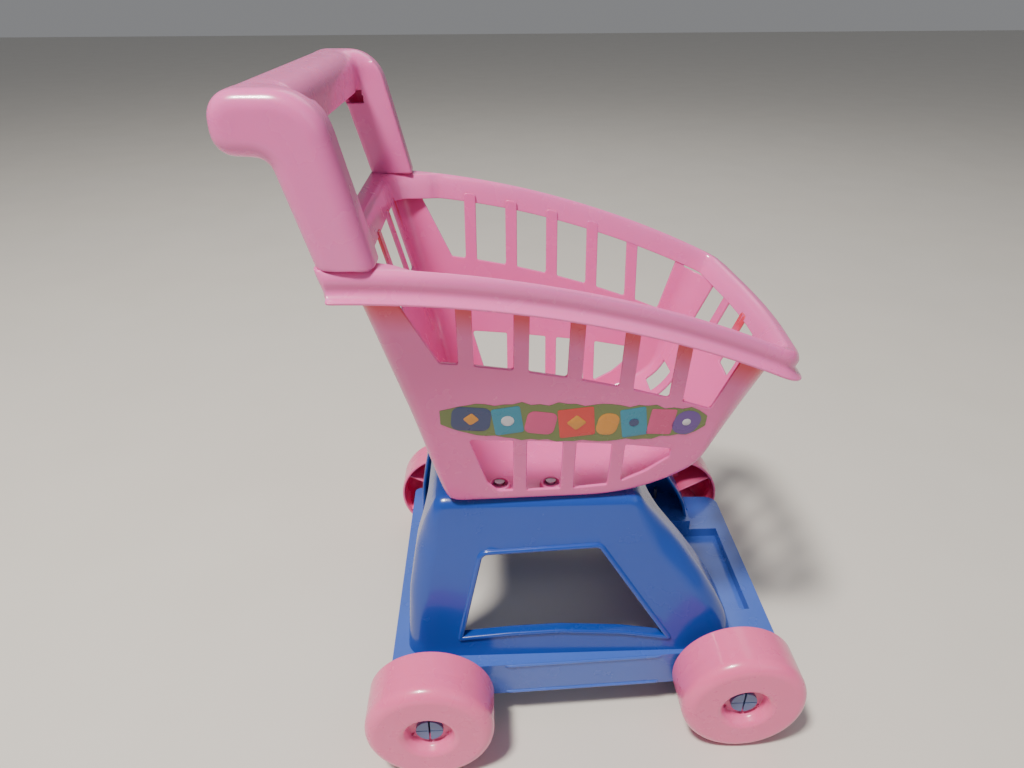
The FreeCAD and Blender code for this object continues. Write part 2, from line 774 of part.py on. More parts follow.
def build_label(side, sign):
    """Thin printed label on one side wall, a wavy-edged band under the upper openings."""
    outline = [
        (-106, 279), (-106, 303), (-79, 307), (-25, 304), (30, 298), (70, 292), (79, 283), (76, 272),
        (48, 263), (5, 264), (-52, 268), (-95, 272),
    ]
    draft, taper = size("wall_draft"), size("wall_taper")
    points = [Vector(x, sign * (size("wall_half") + draft * z - taper * x), z) for x, z in outline]
    normal = Vector(taper, sign, -draft).normalize()
    obj = doc.addObject("Part::Feature", f"label_{side}")
    obj.Shape = Part.Face(Part.makePolygon(points + points[:1])).extrude(normal * size("label_thickness"))
    return finish(obj, f"label_{side}")


build_handle()
build_plugs()
for side, sign in SIDES.items():
    build_label(side, sign)
for name, (places, seat, up) in SCREW_SETS.items():
    screws = doc.addObject("Part::Feature", name)
    screws.Shape = Part.makeCompound([screw(x, y, seat, up) for x, y in places])
    finish(screws, name)


# ---------------------------------------------------------------- checks and export

doc.recompute()
for obj in doc.Objects:
    if "Invalid" in obj.State or "Error" in obj.State:
        raise RuntimeError(f"{obj.Label} failed to recompute: {obj.State}")
os.makedirs("parts", exist_ok=True)
for node in nodes:
    if node.Shape.isNull() or not node.Shape.isValid() or not node.Shape.Solids:
        raise RuntimeError(f"{node.Label} has no valid solid")
    node.Shape.exportStep(f"parts/{node.Label}.step")
    print(f"{node.Label}: {len(node.Shape.Solids)} solid(s), {node.Shape.Volume / 1000:.1f} cm3")
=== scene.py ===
"""Toy supermarket trolley in moulded plastic: basket, handle, stand, base frame and wheels.

Every shape is drawn in millimetres about the middle of the wheelbase, with +X the way the trolley
rolls, +Y its left side and the floor at z = 0. Skin.to_piece() moves it into the frame's metres.
"""

import logging
import math
from dataclasses import dataclass, field
from enum import Enum
from typing import Callable, Iterable, Sequence

import bmesh
import bpy
import numpy as np
from mathutils import Matrix, Vector
from mathutils.geometry import delaunay_2d_cdt


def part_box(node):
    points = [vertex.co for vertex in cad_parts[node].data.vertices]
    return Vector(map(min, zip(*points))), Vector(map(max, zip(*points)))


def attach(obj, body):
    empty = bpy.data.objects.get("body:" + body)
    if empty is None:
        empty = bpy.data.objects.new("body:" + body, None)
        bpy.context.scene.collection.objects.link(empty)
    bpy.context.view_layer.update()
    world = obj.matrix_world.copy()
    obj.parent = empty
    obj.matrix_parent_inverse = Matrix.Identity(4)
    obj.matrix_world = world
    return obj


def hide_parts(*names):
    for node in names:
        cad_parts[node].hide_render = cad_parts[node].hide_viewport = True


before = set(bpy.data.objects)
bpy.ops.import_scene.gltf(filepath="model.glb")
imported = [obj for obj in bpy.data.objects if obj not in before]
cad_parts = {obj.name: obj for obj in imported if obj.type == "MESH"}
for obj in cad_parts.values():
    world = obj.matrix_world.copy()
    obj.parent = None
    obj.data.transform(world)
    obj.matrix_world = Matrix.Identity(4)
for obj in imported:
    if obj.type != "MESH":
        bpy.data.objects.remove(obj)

log = logging.getLogger("trolley")

Flat = tuple[float, float]
Corner = tuple[float, float, float]
Colour = tuple[float, float, float]
Measure = Callable[[float, float], float]
Facing = Callable[[Vector, Vector], float]
Tree = bpy.types.NodeTree
Socket = bpy.types.NodeSocket

METRE = 1000.0
ROOT = "root"
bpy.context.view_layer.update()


def middle_of(node: str) -> Vector:
    """Middle of a CAD node's box, in metres."""
    low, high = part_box(node)
    return (low + high) / 2


DRAWN_ABOUT = (middle_of("wheel_rear_right").x + middle_of("wheel_front_right").x) / 2


def in_row(point: Vector) -> Vector:
    """Move a drawn point, in millimetres, into the row frame, in metres."""
    return Vector((point.x / METRE + DRAWN_ABOUT, point.y / METRE, point.z / METRE))


def ease(value: float, start: float, end: float) -> float:
    """Rise smoothly from 0 to 1 as value goes from start to end."""
    share = min(max((value - start) / (end - start), 0.0), 1.0)
    return share * share * (3 - 2 * share)


# ------------------------------------------------------------------ outlines


def rounded_path(corners: Sequence[Corner], closed: bool = False, steps: int = 5) -> list[Flat]:
    """Walk through corners, rounding each to its own radius.

    Args:
        corners: Points as (a, b, radius). The ends of an open path stay sharp.
        closed: Whether the path joins its own start.
        steps: How many spans each rounded corner gets.

    Returns:
        The points of the rounded path in order.
    """
    path: list[Flat] = []
    count = len(corners)
    for i, (a, b, radius) in enumerate(corners):
        point = Vector((a, b))
        if radius <= 0 or (not closed and i in (0, count - 1)):
            path.append((a, b))
            continue
        back = Vector(corners[i - 1][:2]) - point
        ahead = Vector(corners[(i + 1) % count][:2]) - point
        half = back.angle(ahead) / 2
        reach = min(radius / math.tan(half), 0.49 * back.length, 0.49 * ahead.length)
        fitted = reach * math.tan(half)
        back.normalize()
        ahead.normalize()
        centre = point + (back + ahead).normalized() * fitted / math.sin(half)
        first, last = point + back * reach - centre, point + ahead * reach - centre
        start = math.atan2(first.y, first.x)
        turn = (math.atan2(last.y, last.x) - start + math.pi) % math.tau - math.pi
        for step in range(steps + 1):
            angle = start + turn * step / steps
            path.append((centre.x + fitted * math.cos(angle), centre.y + fitted * math.sin(angle)))
    return path


def spread(path: Sequence[Flat], longest: float, closed: bool = False) -> list[Flat]:
    """Add points to a path so that no span is longer than a limit.

    Args:
        path: The points in order.
        longest: The longest span left.
        closed: Whether the path joins its own start.

    Returns:
        The path with its long spans divided evenly.
    """
    result: list[Flat] = []
    ends = list(path[1:]) + ([path[0]] if closed else [])
    for (a0, b0), (a1, b1) in zip(path, ends):
        parts = max(1, math.ceil(math.hypot(a1 - a0, b1 - b0) / longest))
        result += [(a0 + (a1 - a0) * i / parts, b0 + (b1 - b0) * i / parts) for i in range(parts)]
    return result if closed else result + [path[-1]]


def run_along(points: np.ndarray) -> np.ndarray:
    """Length along a path at each of its points, which lie one in each row."""
    return np.concatenate([[0.0], np.cumsum(np.linalg.norm(np.diff(points, axis=0), axis=1))])


def evenly(path: Sequence[Flat], step: float) -> list[Flat]:
    """Place points at even spacing along an open path.

    Args:
        path: The points in order.
        step: Spacing wanted, which is adjusted to divide the path evenly.

    Returns:
        The new points, with the path's own ends.
    """
    points = np.array(path, float)
    run = run_along(points)
    at = np.linspace(0.0, run[-1], max(2, round(run[-1] / step) + 1))
    return list(zip(np.interp(at, run, points[:, 0]), np.interp(at, run, points[:, 1])))


def softened(path: Sequence[Flat], reach: int, step: float) -> list[Flat]:
    """Smooth an open path's corners while its ends stay in place.

    Args:
        path: The points in order, in millimetres.
        reach: How far each side of a corner the smoothing acts, in millimetres.
        step: Spacing of the points returned.

    Returns:
        The smoothed path at even spacing.
    """
    points = np.array(evenly(path, 1.0))
    for _ in range(2):
        size = np.minimum(np.arange(len(points)), np.arange(len(points))[::-1])
        size = np.minimum(size, reach)
        points = np.array([points[i - n : i + n + 1].mean(axis=0) for i, n in enumerate(size)])
    return evenly([tuple(p) for p in points], step)


TINY = 1e-9
# Distance between rows of even triangles, and of inner points from an edge, as shares of a step.
ROW_PITCH = 0.87
EDGE_CLEARANCE = 0.45


def within(points: np.ndarray, loop: Sequence[Flat]) -> np.ndarray:
    """Find which of many flat points lie inside a closed loop.

    Args:
        points: The points, one in each row.
        loop: The loop's corners in order.

    Returns:
        A truth value for each point.
    """
    a = np.array(loop, float)
    b = np.roll(a, -1, axis=0)
    x, y = points[:, :1], points[:, 1:]
    straddles = (a[:, 1] > y) != (b[:, 1] > y)
    rise = b[:, 1] - a[:, 1]
    rise[rise == 0] = TINY
    crossing = (b[:, 0] - a[:, 0]) * (y - a[:, 1]) / rise + a[:, 0]
    return (straddles & (x < crossing)).sum(axis=1) % 2 == 1


def filled(
    outline: Sequence[Flat], holes: Sequence[Sequence[Flat]], step: float
) -> tuple[np.ndarray, list[list[int]]]:
    """Fill an outline round its holes with even triangles.

    Args:
        outline: The outer closed loop, whose points are all kept.
        holes: Closed loops to leave open.
        step: Spacing of the points added inside.

    Returns:
        The flat points and the triangles as index lists.
    """
    rim: list[Flat] = []
    edges = []
    for loop in [outline, *holes]:
        first = len(rim)
        rim += list(loop)
        edges += [(first + i, first + (i + 1) % len(loop)) for i in range(len(loop))]
    edge_points = np.array(rim, float)
    low, high = edge_points.min(axis=0), edge_points.max(axis=0)
    grid = np.array([
        (a + (step / 2 if row % 2 else 0.0), b)
        for row, b in enumerate(np.arange(low[1] + step / 2, high[1], step * ROW_PITCH))
        for a in np.arange(low[0] + step / 2, high[0], step)
    ])
    gaps = np.linalg.norm(grid[:, None] - edge_points[None], axis=2).min(axis=1)
    keep = within(grid, outline) & (gaps > step * EDGE_CLEARANCE)
    for hole in holes:
        keep &= ~within(grid, hole)
    points = [Vector(p) for p in rim] + [Vector(p) for p in grid[keep]]
    made, _, faces, *_ = delaunay_2d_cdt(points, edges, [], 0, 1e-6)
    flat = np.array([tuple(p) for p in made])
    middles = np.array([flat[list(face)].mean(axis=0) for face in faces])
    wanted = within(middles, outline)
    for hole in holes:
        wanted &= ~within(middles, hole)
    return flat, [list(face) for face, ok in zip(faces, wanted) if ok]


def round_lip(wall: float, radius: float = 0.8, steps: int = 3) -> list[Flat]:
    """Steps over a wall's rounded edge, as (out, up) from its outer skin to its inner one.

    Args:
        wall: The wall's thickness.
        radius: Radius of both edges.
        steps: Spans in each rounded edge.

    Returns:
        The steps between the two skins.
    """
    angles = [math.pi / 2 * (i + 1) / steps for i in range(steps)]
    near = [(radius * math.sin(a), radius * (math.cos(a) - 1)) for a in angles]
    return near + [(out, -wall - up) for out, up in reversed(near)]


# ------------------------------------------------------------------ finishes

# Scales of noise, in cycles per metre, from broad to fine.
CLOUDS = 7.0
SMEARS = 38.0
RIPPLES = 42.0
PEEL = 620.0
GRAIN = 900.0
# How far light travels in a plastic whose bleed is 1 of these, in millimetres.
SCATTER = 6.0
PLASTIC_IOR = 1.49
COAT_ROUGHNESS = 0.07


@dataclass(frozen=True)
class Plastic:
    """Moulded polypropylene: glossy, slightly translucent, with handling marks.

    Attributes:
        name: Name of the material.
        colour: Its colour in even light.
        deep: Its colour where it is thicker or dirtier.
        gloss: Middle of its roughness.
        glow: Share of light that scatters through the wall.
        bleed: How far each colour of light travels in it, in millimetres.
        scuffs: How unevenly it shines.
        coat: Strength of the clear skin that a polished mould leaves.
    """

    name: str
    colour: Colour
    deep: Colour
    gloss: float = 0.25
    glow: float = 0.3
    bleed: Colour = (6.0, 2.0, 2.2)
    scuffs: float = 0.5
    coat: float = 0.35

    def build(self) -> bpy.types.Material:
        """Make the material's nodes.

        Returns:
            The finished material.
        """
        material = bpy.data.materials.new(self.name)
        material.use_nodes = True
        tree = material.node_tree
        nodes, links = tree.nodes, tree.links
        shader = nodes["Principled BSDF"]
        place = nodes.new("ShaderNodeTexCoord").outputs["Object"]
        cloud = self.noise(tree, place, CLOUDS, 3.0)
        tint = nodes.new("ShaderNodeMix")
        tint.data_type = "RGBA"
        tint.inputs["A"].default_value = (*self.colour, 1.0)
        tint.inputs["B"].default_value = (*self.deep, 1.0)
        links.new(self.ranged(tree, cloud, 0.35, 0.75, 0.0, 0.55), tint.inputs["Factor"])
        links.new(tint.outputs["Result"], shader.inputs["Base Color"])
        smear = self.noise(tree, place, SMEARS, 4.0)
        shiny, dull = self.gloss - 0.04, self.gloss + 0.12 * self.scuffs
        links.new(self.ranged(tree, smear, 0.3, 0.75, shiny, dull), shader.inputs["Roughness"])
        ripple = self.bump(tree, self.noise(tree, place, RIPPLES, 1.0), 0.05, 0.0008, None)
        peel = self.bump(tree, self.noise(tree, place, PEEL, 2.0), 0.04, 0.0002, ripple)
        links.new(peel, shader.inputs["Normal"])
        shader.inputs["IOR"].default_value = PLASTIC_IOR
        shader.inputs["Subsurface Weight"].default_value = self.glow
        shader.inputs["Subsurface Radius"].default_value = tuple(v / SCATTER for v in self.bleed)
        shader.inputs["Subsurface Scale"].default_value = SCATTER / METRE
        shader.inputs["Coat Weight"].default_value = self.coat
        shader.inputs["Coat Roughness"].default_value = COAT_ROUGHNESS
        return material

    @staticmethod
    def noise(tree: Tree, place: Socket, scale: float, detail: float) -> Socket:
        """Add a noise.

        Args:
            tree: Where the node goes.
            place: The place that it is read at.
            scale: Its cycles per metre.
            detail: How many finer layers it has.

        Returns:
            The noise's value.
        """
        node = tree.nodes.new("ShaderNodeTexNoise")
        node.inputs["Scale"].default_value = scale
        node.inputs["Detail"].default_value = detail
        tree.links.new(place, node.inputs["Vector"])
        return node.outputs["Fac"]

    @staticmethod
    def ranged(
        tree: Tree, value: Socket, low: float, high: float, start: float, end: float
    ) -> Socket:
        """Take a value from one range to another and keep it there.

        Args:
            tree: Where the node goes.
            value: The value.
            low: Where its range starts.
            high: Where its range ends.
            start: Where the new range starts.
            end: Where the new range ends.

        Returns:
            The new value.
        """
        node = tree.nodes.new("ShaderNodeMapRange")
        ends = {"From Min": low, "From Max": high, "To Min": start, "To Max": end}
        for name, number in ends.items():
            node.inputs[name].default_value = number
        tree.links.new(value, node.inputs["Value"])
        return node.outputs["Result"]

    @staticmethod
    def bump(
        tree: Tree, height: Socket, strength: float, distance: float, under: Socket | None
    ) -> Socket:
        """Bend the surface's normal by a height.

        Args:
            tree: Where the node goes.
            height: The height.
            strength: How far the normal is bent.
            distance: Height that a value of 1 stands for, in metres.
            under: Another bump that this one lies on, if any.

        Returns:
            The bent normal.
        """
        node = tree.nodes.new("ShaderNodeBump")
        node.inputs["Strength"].default_value = strength
        node.inputs["Distance"].default_value = distance
        tree.links.new(height, node.inputs["Height"])
        if under is not None:
            tree.links.new(under, node.inputs["Normal"])
        return node.outputs["Normal"]


@dataclass(frozen=True)
class WallPlastic(Plastic):
    """The basket's plastic, with a painted shade: deep red mixed into its outside close under the
    rim, standing in for the rim's shadow with light coming red through the wall.

    Attributes:
        shade: Colour of the painted shade close under the rim, not the plastic's own colour.
        shade_start: How far under the rim's top line the shade starts, in metres.
        shade_full: How far under that line it is full.
        shade_share: How much of it there is then.
    """

    shade: Colour = (0.62, 0.015, 0.03)
    shade_start: float = 0.045
    shade_full: float = 0.027
    shade_share: float = 0.85

    def build(self) -> bpy.types.Material:
        """Make the material's nodes.

        Returns:
            The finished material.
        """
        material = super().build()
        tree = material.node_tree
        links = tree.links
        shader = tree.nodes["Principled BSDF"]
        plain = shader.inputs["Base Color"].links[0].from_socket
        place = self.split(tree, tree.nodes.new("ShaderNodeTexCoord").outputs["Object"])
        facing = self.split(tree, tree.nodes.new("ShaderNodeNewGeometry").outputs["Normal"])
        basket = Basket()
        apex_x, top = basket.rim_apex[0] / METRE + DRAWN_ABOUT, basket.rim_apex[1] / METRE
        # Painted shade: a deep red is mixed into the outward faces between shade_start and
        # shade_full under the rim's top line, standing in for the rim's shadow lit red through the
        # wall.
        reach = self.combined(tree, "SUBTRACT", place["X"], apex_x)
        squared = self.combined(tree, "MULTIPLY", reach, reach)
        fall = self.combined(tree, "DIVIDE", squared, 2 * basket.rim_curve / METRE)
        height = self.combined(tree, "ADD", place["Z"], fall)
        start, full = top - self.shade_start, top - self.shade_full
        under = self.ranged(tree, height, start, full, 0.0, self.shade_share)
        outward = self.combined(tree, "MULTIPLY", place["Y"], facing["Y"])
        outside = self.combined(tree, "GREATER_THAN", outward, 0.0)
        painted_shade_mix = tree.nodes.new("ShaderNodeMix")
        painted_shade_mix.data_type = "RGBA"
        painted_shade_mix.inputs["B"].default_value = (*self.shade, 1.0)
        links.new(plain, painted_shade_mix.inputs["A"])
        links.new(self.combined(tree, "MULTIPLY", under, outside), painted_shade_mix.inputs["Factor"])
        links.new(painted_shade_mix.outputs["Result"], shader.inputs["Base Color"])
        return material

    @staticmethod
    def split(tree: Tree, value: Socket) -> bpy.types.bpy_prop_collection:
        """Split a vector.

        Args:
            tree: Where the node goes.
            value: The vector.

        Returns:
            Its parts, by the names X, Y and Z.
        """
        node = tree.nodes.new("ShaderNodeSeparateXYZ")
        tree.links.new(value, node.inputs["Vector"])
        return node.outputs

    @staticmethod
    def combined(tree: Tree, operation: str, first: Socket, second: Socket | float) -> Socket:
        """Combine a value with another value or a number.

        Args:
            tree: Where the node goes.
            operation: Name of the operation.
            first: The value.
            second: The other value or the number.

        Returns:
            The result.
        """
        node = tree.nodes.new("ShaderNodeMath")
        node.operation = operation
        tree.links.new(first, node.inputs[0])
        if isinstance(second, float):
            node.inputs[1].default_value = second
        else:
            tree.links.new(second, node.inputs[1])
        return node.outputs["Value"]


@dataclass(frozen=True)
class Zinc:
    """Zinc-plated steel of the screws.

    Attributes:
        name: Name of the material.
        colour: Zinc's grey, darkened as painted shade for the screw heads down in their seats.
    """

    name: str = "zinc_plate"
    # Painted shade: darker than bare zinc, for screw heads that sit in shade in their seats.
    colour: Colour = (0.30, 0.30, 0.32)

    def build(self) -> bpy.types.Material:
        """Make the material's nodes.

        Returns:
            The finished material.
        """
        material = bpy.data.materials.new(self.name)
        material.use_nodes = True
        tree = material.node_tree
        shader = tree.nodes["Principled BSDF"]
        place = tree.nodes.new("ShaderNodeTexCoord").outputs["Object"]
        grain = Plastic.noise(tree, place, GRAIN, 3.0)
        shader.inputs["Base Color"].default_value = (*self.colour, 1.0)
        shader.inputs["Metallic"].default_value = 1.0
        rough = Plastic.ranged(tree, grain, 0.3, 0.7, 0.25, 0.5)
        tree.links.new(rough, shader.inputs["Roughness"])
        tree.links.new(Plastic.bump(tree, grain, 0.1, 0.0001, None), shader.inputs["Normal"])
        return material


@dataclass(frozen=True)
class Ink(Plastic):
    """Printing ink under a clear film.

    Attributes:
        gloss: Middle of its roughness.
        glow: Share of light that scatters in it.
    """

    gloss: float = 0.26
    glow: float = 0.0


class Look(Enum):
    """A choice of finish."""

    def material(self) -> bpy.types.Material:
        """The finish's material, made the first time that it is asked for."""
        return bpy.data.materials.get(self.value.name) or self.value.build()


class Finish(Look):
    """The finishes of the trolley's parts."""

    BASKET = Plastic("pink_basket_plastic", (0.79, 0.165, 0.45), (0.73, 0.13, 0.40))
    WALLS = WallPlastic("pink_wall_plastic", (0.76, 0.135, 0.405), (0.70, 0.105, 0.36))
    WHEEL = Plastic(
        "pink_wheel_plastic", (0.86, 0.15, 0.355), (0.80, 0.115, 0.305), gloss=0.28, glow=0.22
    )
    STAND = Plastic(
        "blue_stand_plastic", (0.011, 0.058, 0.35), (0.008, 0.046, 0.30),
        gloss=0.24, glow=0.12, bleed=(1.0, 1.6, 5.0),
    )
    FRAME = Plastic(
        "blue_frame_plastic", (0.055, 0.125, 0.50), (0.04, 0.10, 0.44),
        glow=0.12, bleed=(1.0, 1.6, 5.0),
    )
    PIN = Plastic(
        "blue_pin_plastic", (0.09, 0.15, 0.33), (0.07, 0.12, 0.28),
        gloss=0.4, glow=0.1, bleed=(1.0, 1.6, 4.0),
    )
    SCREW = Zinc()


class Print(Look):
    """The printing inks of the sticker."""

    OLIVE = Ink("olive_print", (0.13, 0.17, 0.045), (0.10, 0.14, 0.03))
    NAVY = Ink("navy_print", (0.02, 0.04, 0.14), (0.015, 0.03, 0.11))
    PALE = Ink("pale_print", (0.55, 0.55, 0.60), (0.48, 0.48, 0.54))
    RED = Ink("red_print", (0.62, 0.03, 0.03), (0.52, 0.02, 0.02))
    AMBER = Ink("amber_print", (0.62, 0.25, 0.02), (0.54, 0.20, 0.02))
    TEAL = Ink("teal_print", (0.01, 0.22, 0.34), (0.01, 0.18, 0.29))
    ROSE = Ink("rose_print", (0.60, 0.05, 0.20), (0.52, 0.04, 0.16))
    VIOLET = Ink("violet_print", (0.11, 0.04, 0.26), (0.09, 0.03, 0.21))


# ------------------------------------------------------------------ skins


class Skin:
    """A moulded surface, gathered patch by patch, then given its wall."""

    def __init__(self) -> None:
        """Start with nothing."""
        self.mesh = bmesh.new()

    def patch(self, points: Iterable[Vector], faces: Iterable[Sequence[int]]) -> None:
        """Add points and the faces between them.

        Args:
            points: The points.
            faces: The faces, as places in the list of points.
        """
        made = [self.mesh.verts.new(point) for point in points]
        for face in faces:
            self.mesh.faces.new([made[i] for i in face])

    def rows(self, rows: Sequence[Sequence[Vector]], closed: bool = False) -> None:
        """Add a grid of quads through rows of points.

        Args:
            rows: Rows of equal length.
            closed: Whether the last row joins the first.
        """
        made = [[self.mesh.verts.new(point) for point in row] for row in rows]
        pairs = list(zip(made, made[1:])) + ([(made[-1], made[0])] if closed else [])
        for low, high in pairs:
            for i in range(len(low) - 1):
                self.mesh.faces.new((low[i], low[i + 1], high[i + 1], high[i]))

    def join(self, outward: Facing, gap: float = 0.03) -> None:
        """Merge the patches' shared edges and turn every face outward.

        Args:
            outward: Says from a face's middle and normal how far it looks outward, with a sign.
            gap: The largest distance between points that are one.
        """
        bmesh.ops.remove_doubles(self.mesh, verts=self.mesh.verts, dist=gap)
        bmesh.ops.dissolve_degenerate(self.mesh, edges=self.mesh.edges, dist=gap / 3)
        bmesh.ops.recalc_face_normals(self.mesh, faces=self.mesh.faces)
        score = sum(
            outward(face.calc_center_median(), face.normal) * face.calc_area()
            for face in self.mesh.faces
        )
        if score < 0:
            bmesh.ops.reverse_faces(self.mesh, faces=self.mesh.faces)

    def edge_loops(self) -> list[list[bmesh.types.BMVert]]:
        """Find the open edges.

        Returns:
            The edges' points as closed loops, each with the surface on its left.
        """
        follows = {}
        for edge in self.mesh.edges:
            if len(edge.link_faces) == 1:
                corner = edge.link_loops[0]
                follows[corner.vert] = corner.link_loop_next.vert
        loops = []
        while follows:
            start, vert = next(iter(follows.items()))
            loop = [start]
            del follows[start]
            while vert in follows:
                loop.append(vert)
                vert = follows.pop(vert)
            loops.append(loop)
        return loops

    def thicken(self, wall: float, lip: Callable[[Vector], Sequence[Flat]]) -> None:
        """Give the surface a wall, and close its open edges with lips.

        Args:
            wall: The wall's thickness, inward.
            lip: Steps over the edge of the loop whose middle is given, as (out, up) pairs.
        """
        mesh = self.mesh
        mesh.normal_update()
        loops = self.edge_loops()
        faces = list(mesh.faces)
        normals = {v: v.normal.copy() for v in mesh.verts}
        inner = {v: mesh.verts.new(v.co - normal * wall) for v, normal in normals.items()}
        for face in faces:
            mesh.faces.new([inner[v] for v in reversed(face.verts)])
        for loop in loops:
            steps = lip(sum((v.co for v in loop), Vector()) / len(loop))
            columns = []
            for i, vert in enumerate(loop):
                along = loop[(i + 1) % len(loop)].co - loop[i - 1].co
                out = along.cross(normals[vert]).normalized()
                new = [mesh.verts.new(vert.co + out * o + normals[vert] * u) for o, u in steps]
                columns.append([vert, *new, inner[vert]])
            for near, far in zip(columns, columns[1:] + columns[:1]):
                for k in range(len(near) - 1):
                    mesh.faces.new((far[k], near[k], near[k + 1], far[k + 1]))

    def to_piece(
        self, name: str, finish: Look, slot: str, body: str = ROOT, replaces: Sequence[str] = ()
    ) -> bpy.types.Object:
        """Make the surface into a smooth piece on a body.

        Args:
            name: The piece's name.
            finish: What it is finished in.
            slot: Not used.
            body: The CAD body that it rides on.
            replaces: CAD nodes that it stands for.

        Returns:
            The piece.
        """
        for vert in self.mesh.verts:
            vert.co = in_row(vert.co)
        data = bpy.data.meshes.new(name)
        self.mesh.to_mesh(data)
        self.mesh.free()
        return dress(bpy.data.objects.new(name, data), finish, body, replaces)


SHADING_WEIGHT = 60
# Points of a CAD copy are one within this many metres.
SAME_POINT = 0.00002
# Its faces are flat within the first angle, and its edges are sharp from the second.
FLAT_WITHIN = math.radians(0.6)
SHARP_FROM = math.radians(35.0)


def dress(
    piece: bpy.types.Object, finish: Look, body: str, replaces: Sequence[str]
) -> bpy.types.Object:
    """Link a piece, smooth it, give it its finish and put it on its body.

    Args:
        piece: A mesh object in the row frame.
        finish: What it is finished in.
        body: The CAD body that it rides on.
        replaces: CAD nodes that it stands for.

    Returns:
        The same piece.
    """
    if piece.name not in bpy.context.scene.collection.objects:
        bpy.context.scene.collection.objects.link(piece)
    piece.data.shade_smooth()
    piece.data.materials.clear()
    piece.data.materials.append(finish.material())
    weighted = piece.modifiers.new("even_shading", "WEIGHTED_NORMAL")
    weighted.keep_sharp = True
    weighted.weight = SHADING_WEIGHT
    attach(piece, body)
    if replaces:
        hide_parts(*replaces)
    log.info("made %s on %s with %d faces", piece.name, body, len(piece.data.polygons))
    return piece


def bevelled_copy(node: str, width: float, finish: Look) -> bpy.types.Object:
    """Copy a CAD node, clean its flat faces and round its edges as a mould would.

    Args:
        node: The CAD node that the piece stands for.
        width: Radius of the edges, in millimetres.
        finish: What it is finished in.

    Returns:
        The piece, on the root body.
    """
    mesh = bmesh.new()
    mesh.from_mesh(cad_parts[node].data)
    bmesh.ops.remove_doubles(mesh, verts=mesh.verts, dist=SAME_POINT)
    bmesh.ops.dissolve_limit(mesh, angle_limit=FLAT_WITHIN, verts=mesh.verts, edges=mesh.edges)
    data = bpy.data.meshes.new(f"{node}_moulded")
    mesh.to_mesh(data)
    mesh.free()
    piece = bpy.data.objects.new(f"{node}_moulded", data)
    bevel = piece.modifiers.new("soft_edges", "BEVEL")
    bevel.width = width / METRE
    bevel.segments = 3
    bevel.limit_method = "ANGLE"
    bevel.angle_limit = SHARP_FROM
    bevel.miter_outer = "MITER_ARC"
    return dress(piece, finish, ROOT, [node])


# ------------------------------------------------------------------ tub and arch shells


def unbowed(x: float, z: float) -> float:
    """No bow at any (x, z), for a band that is straight across."""
    return 0.0


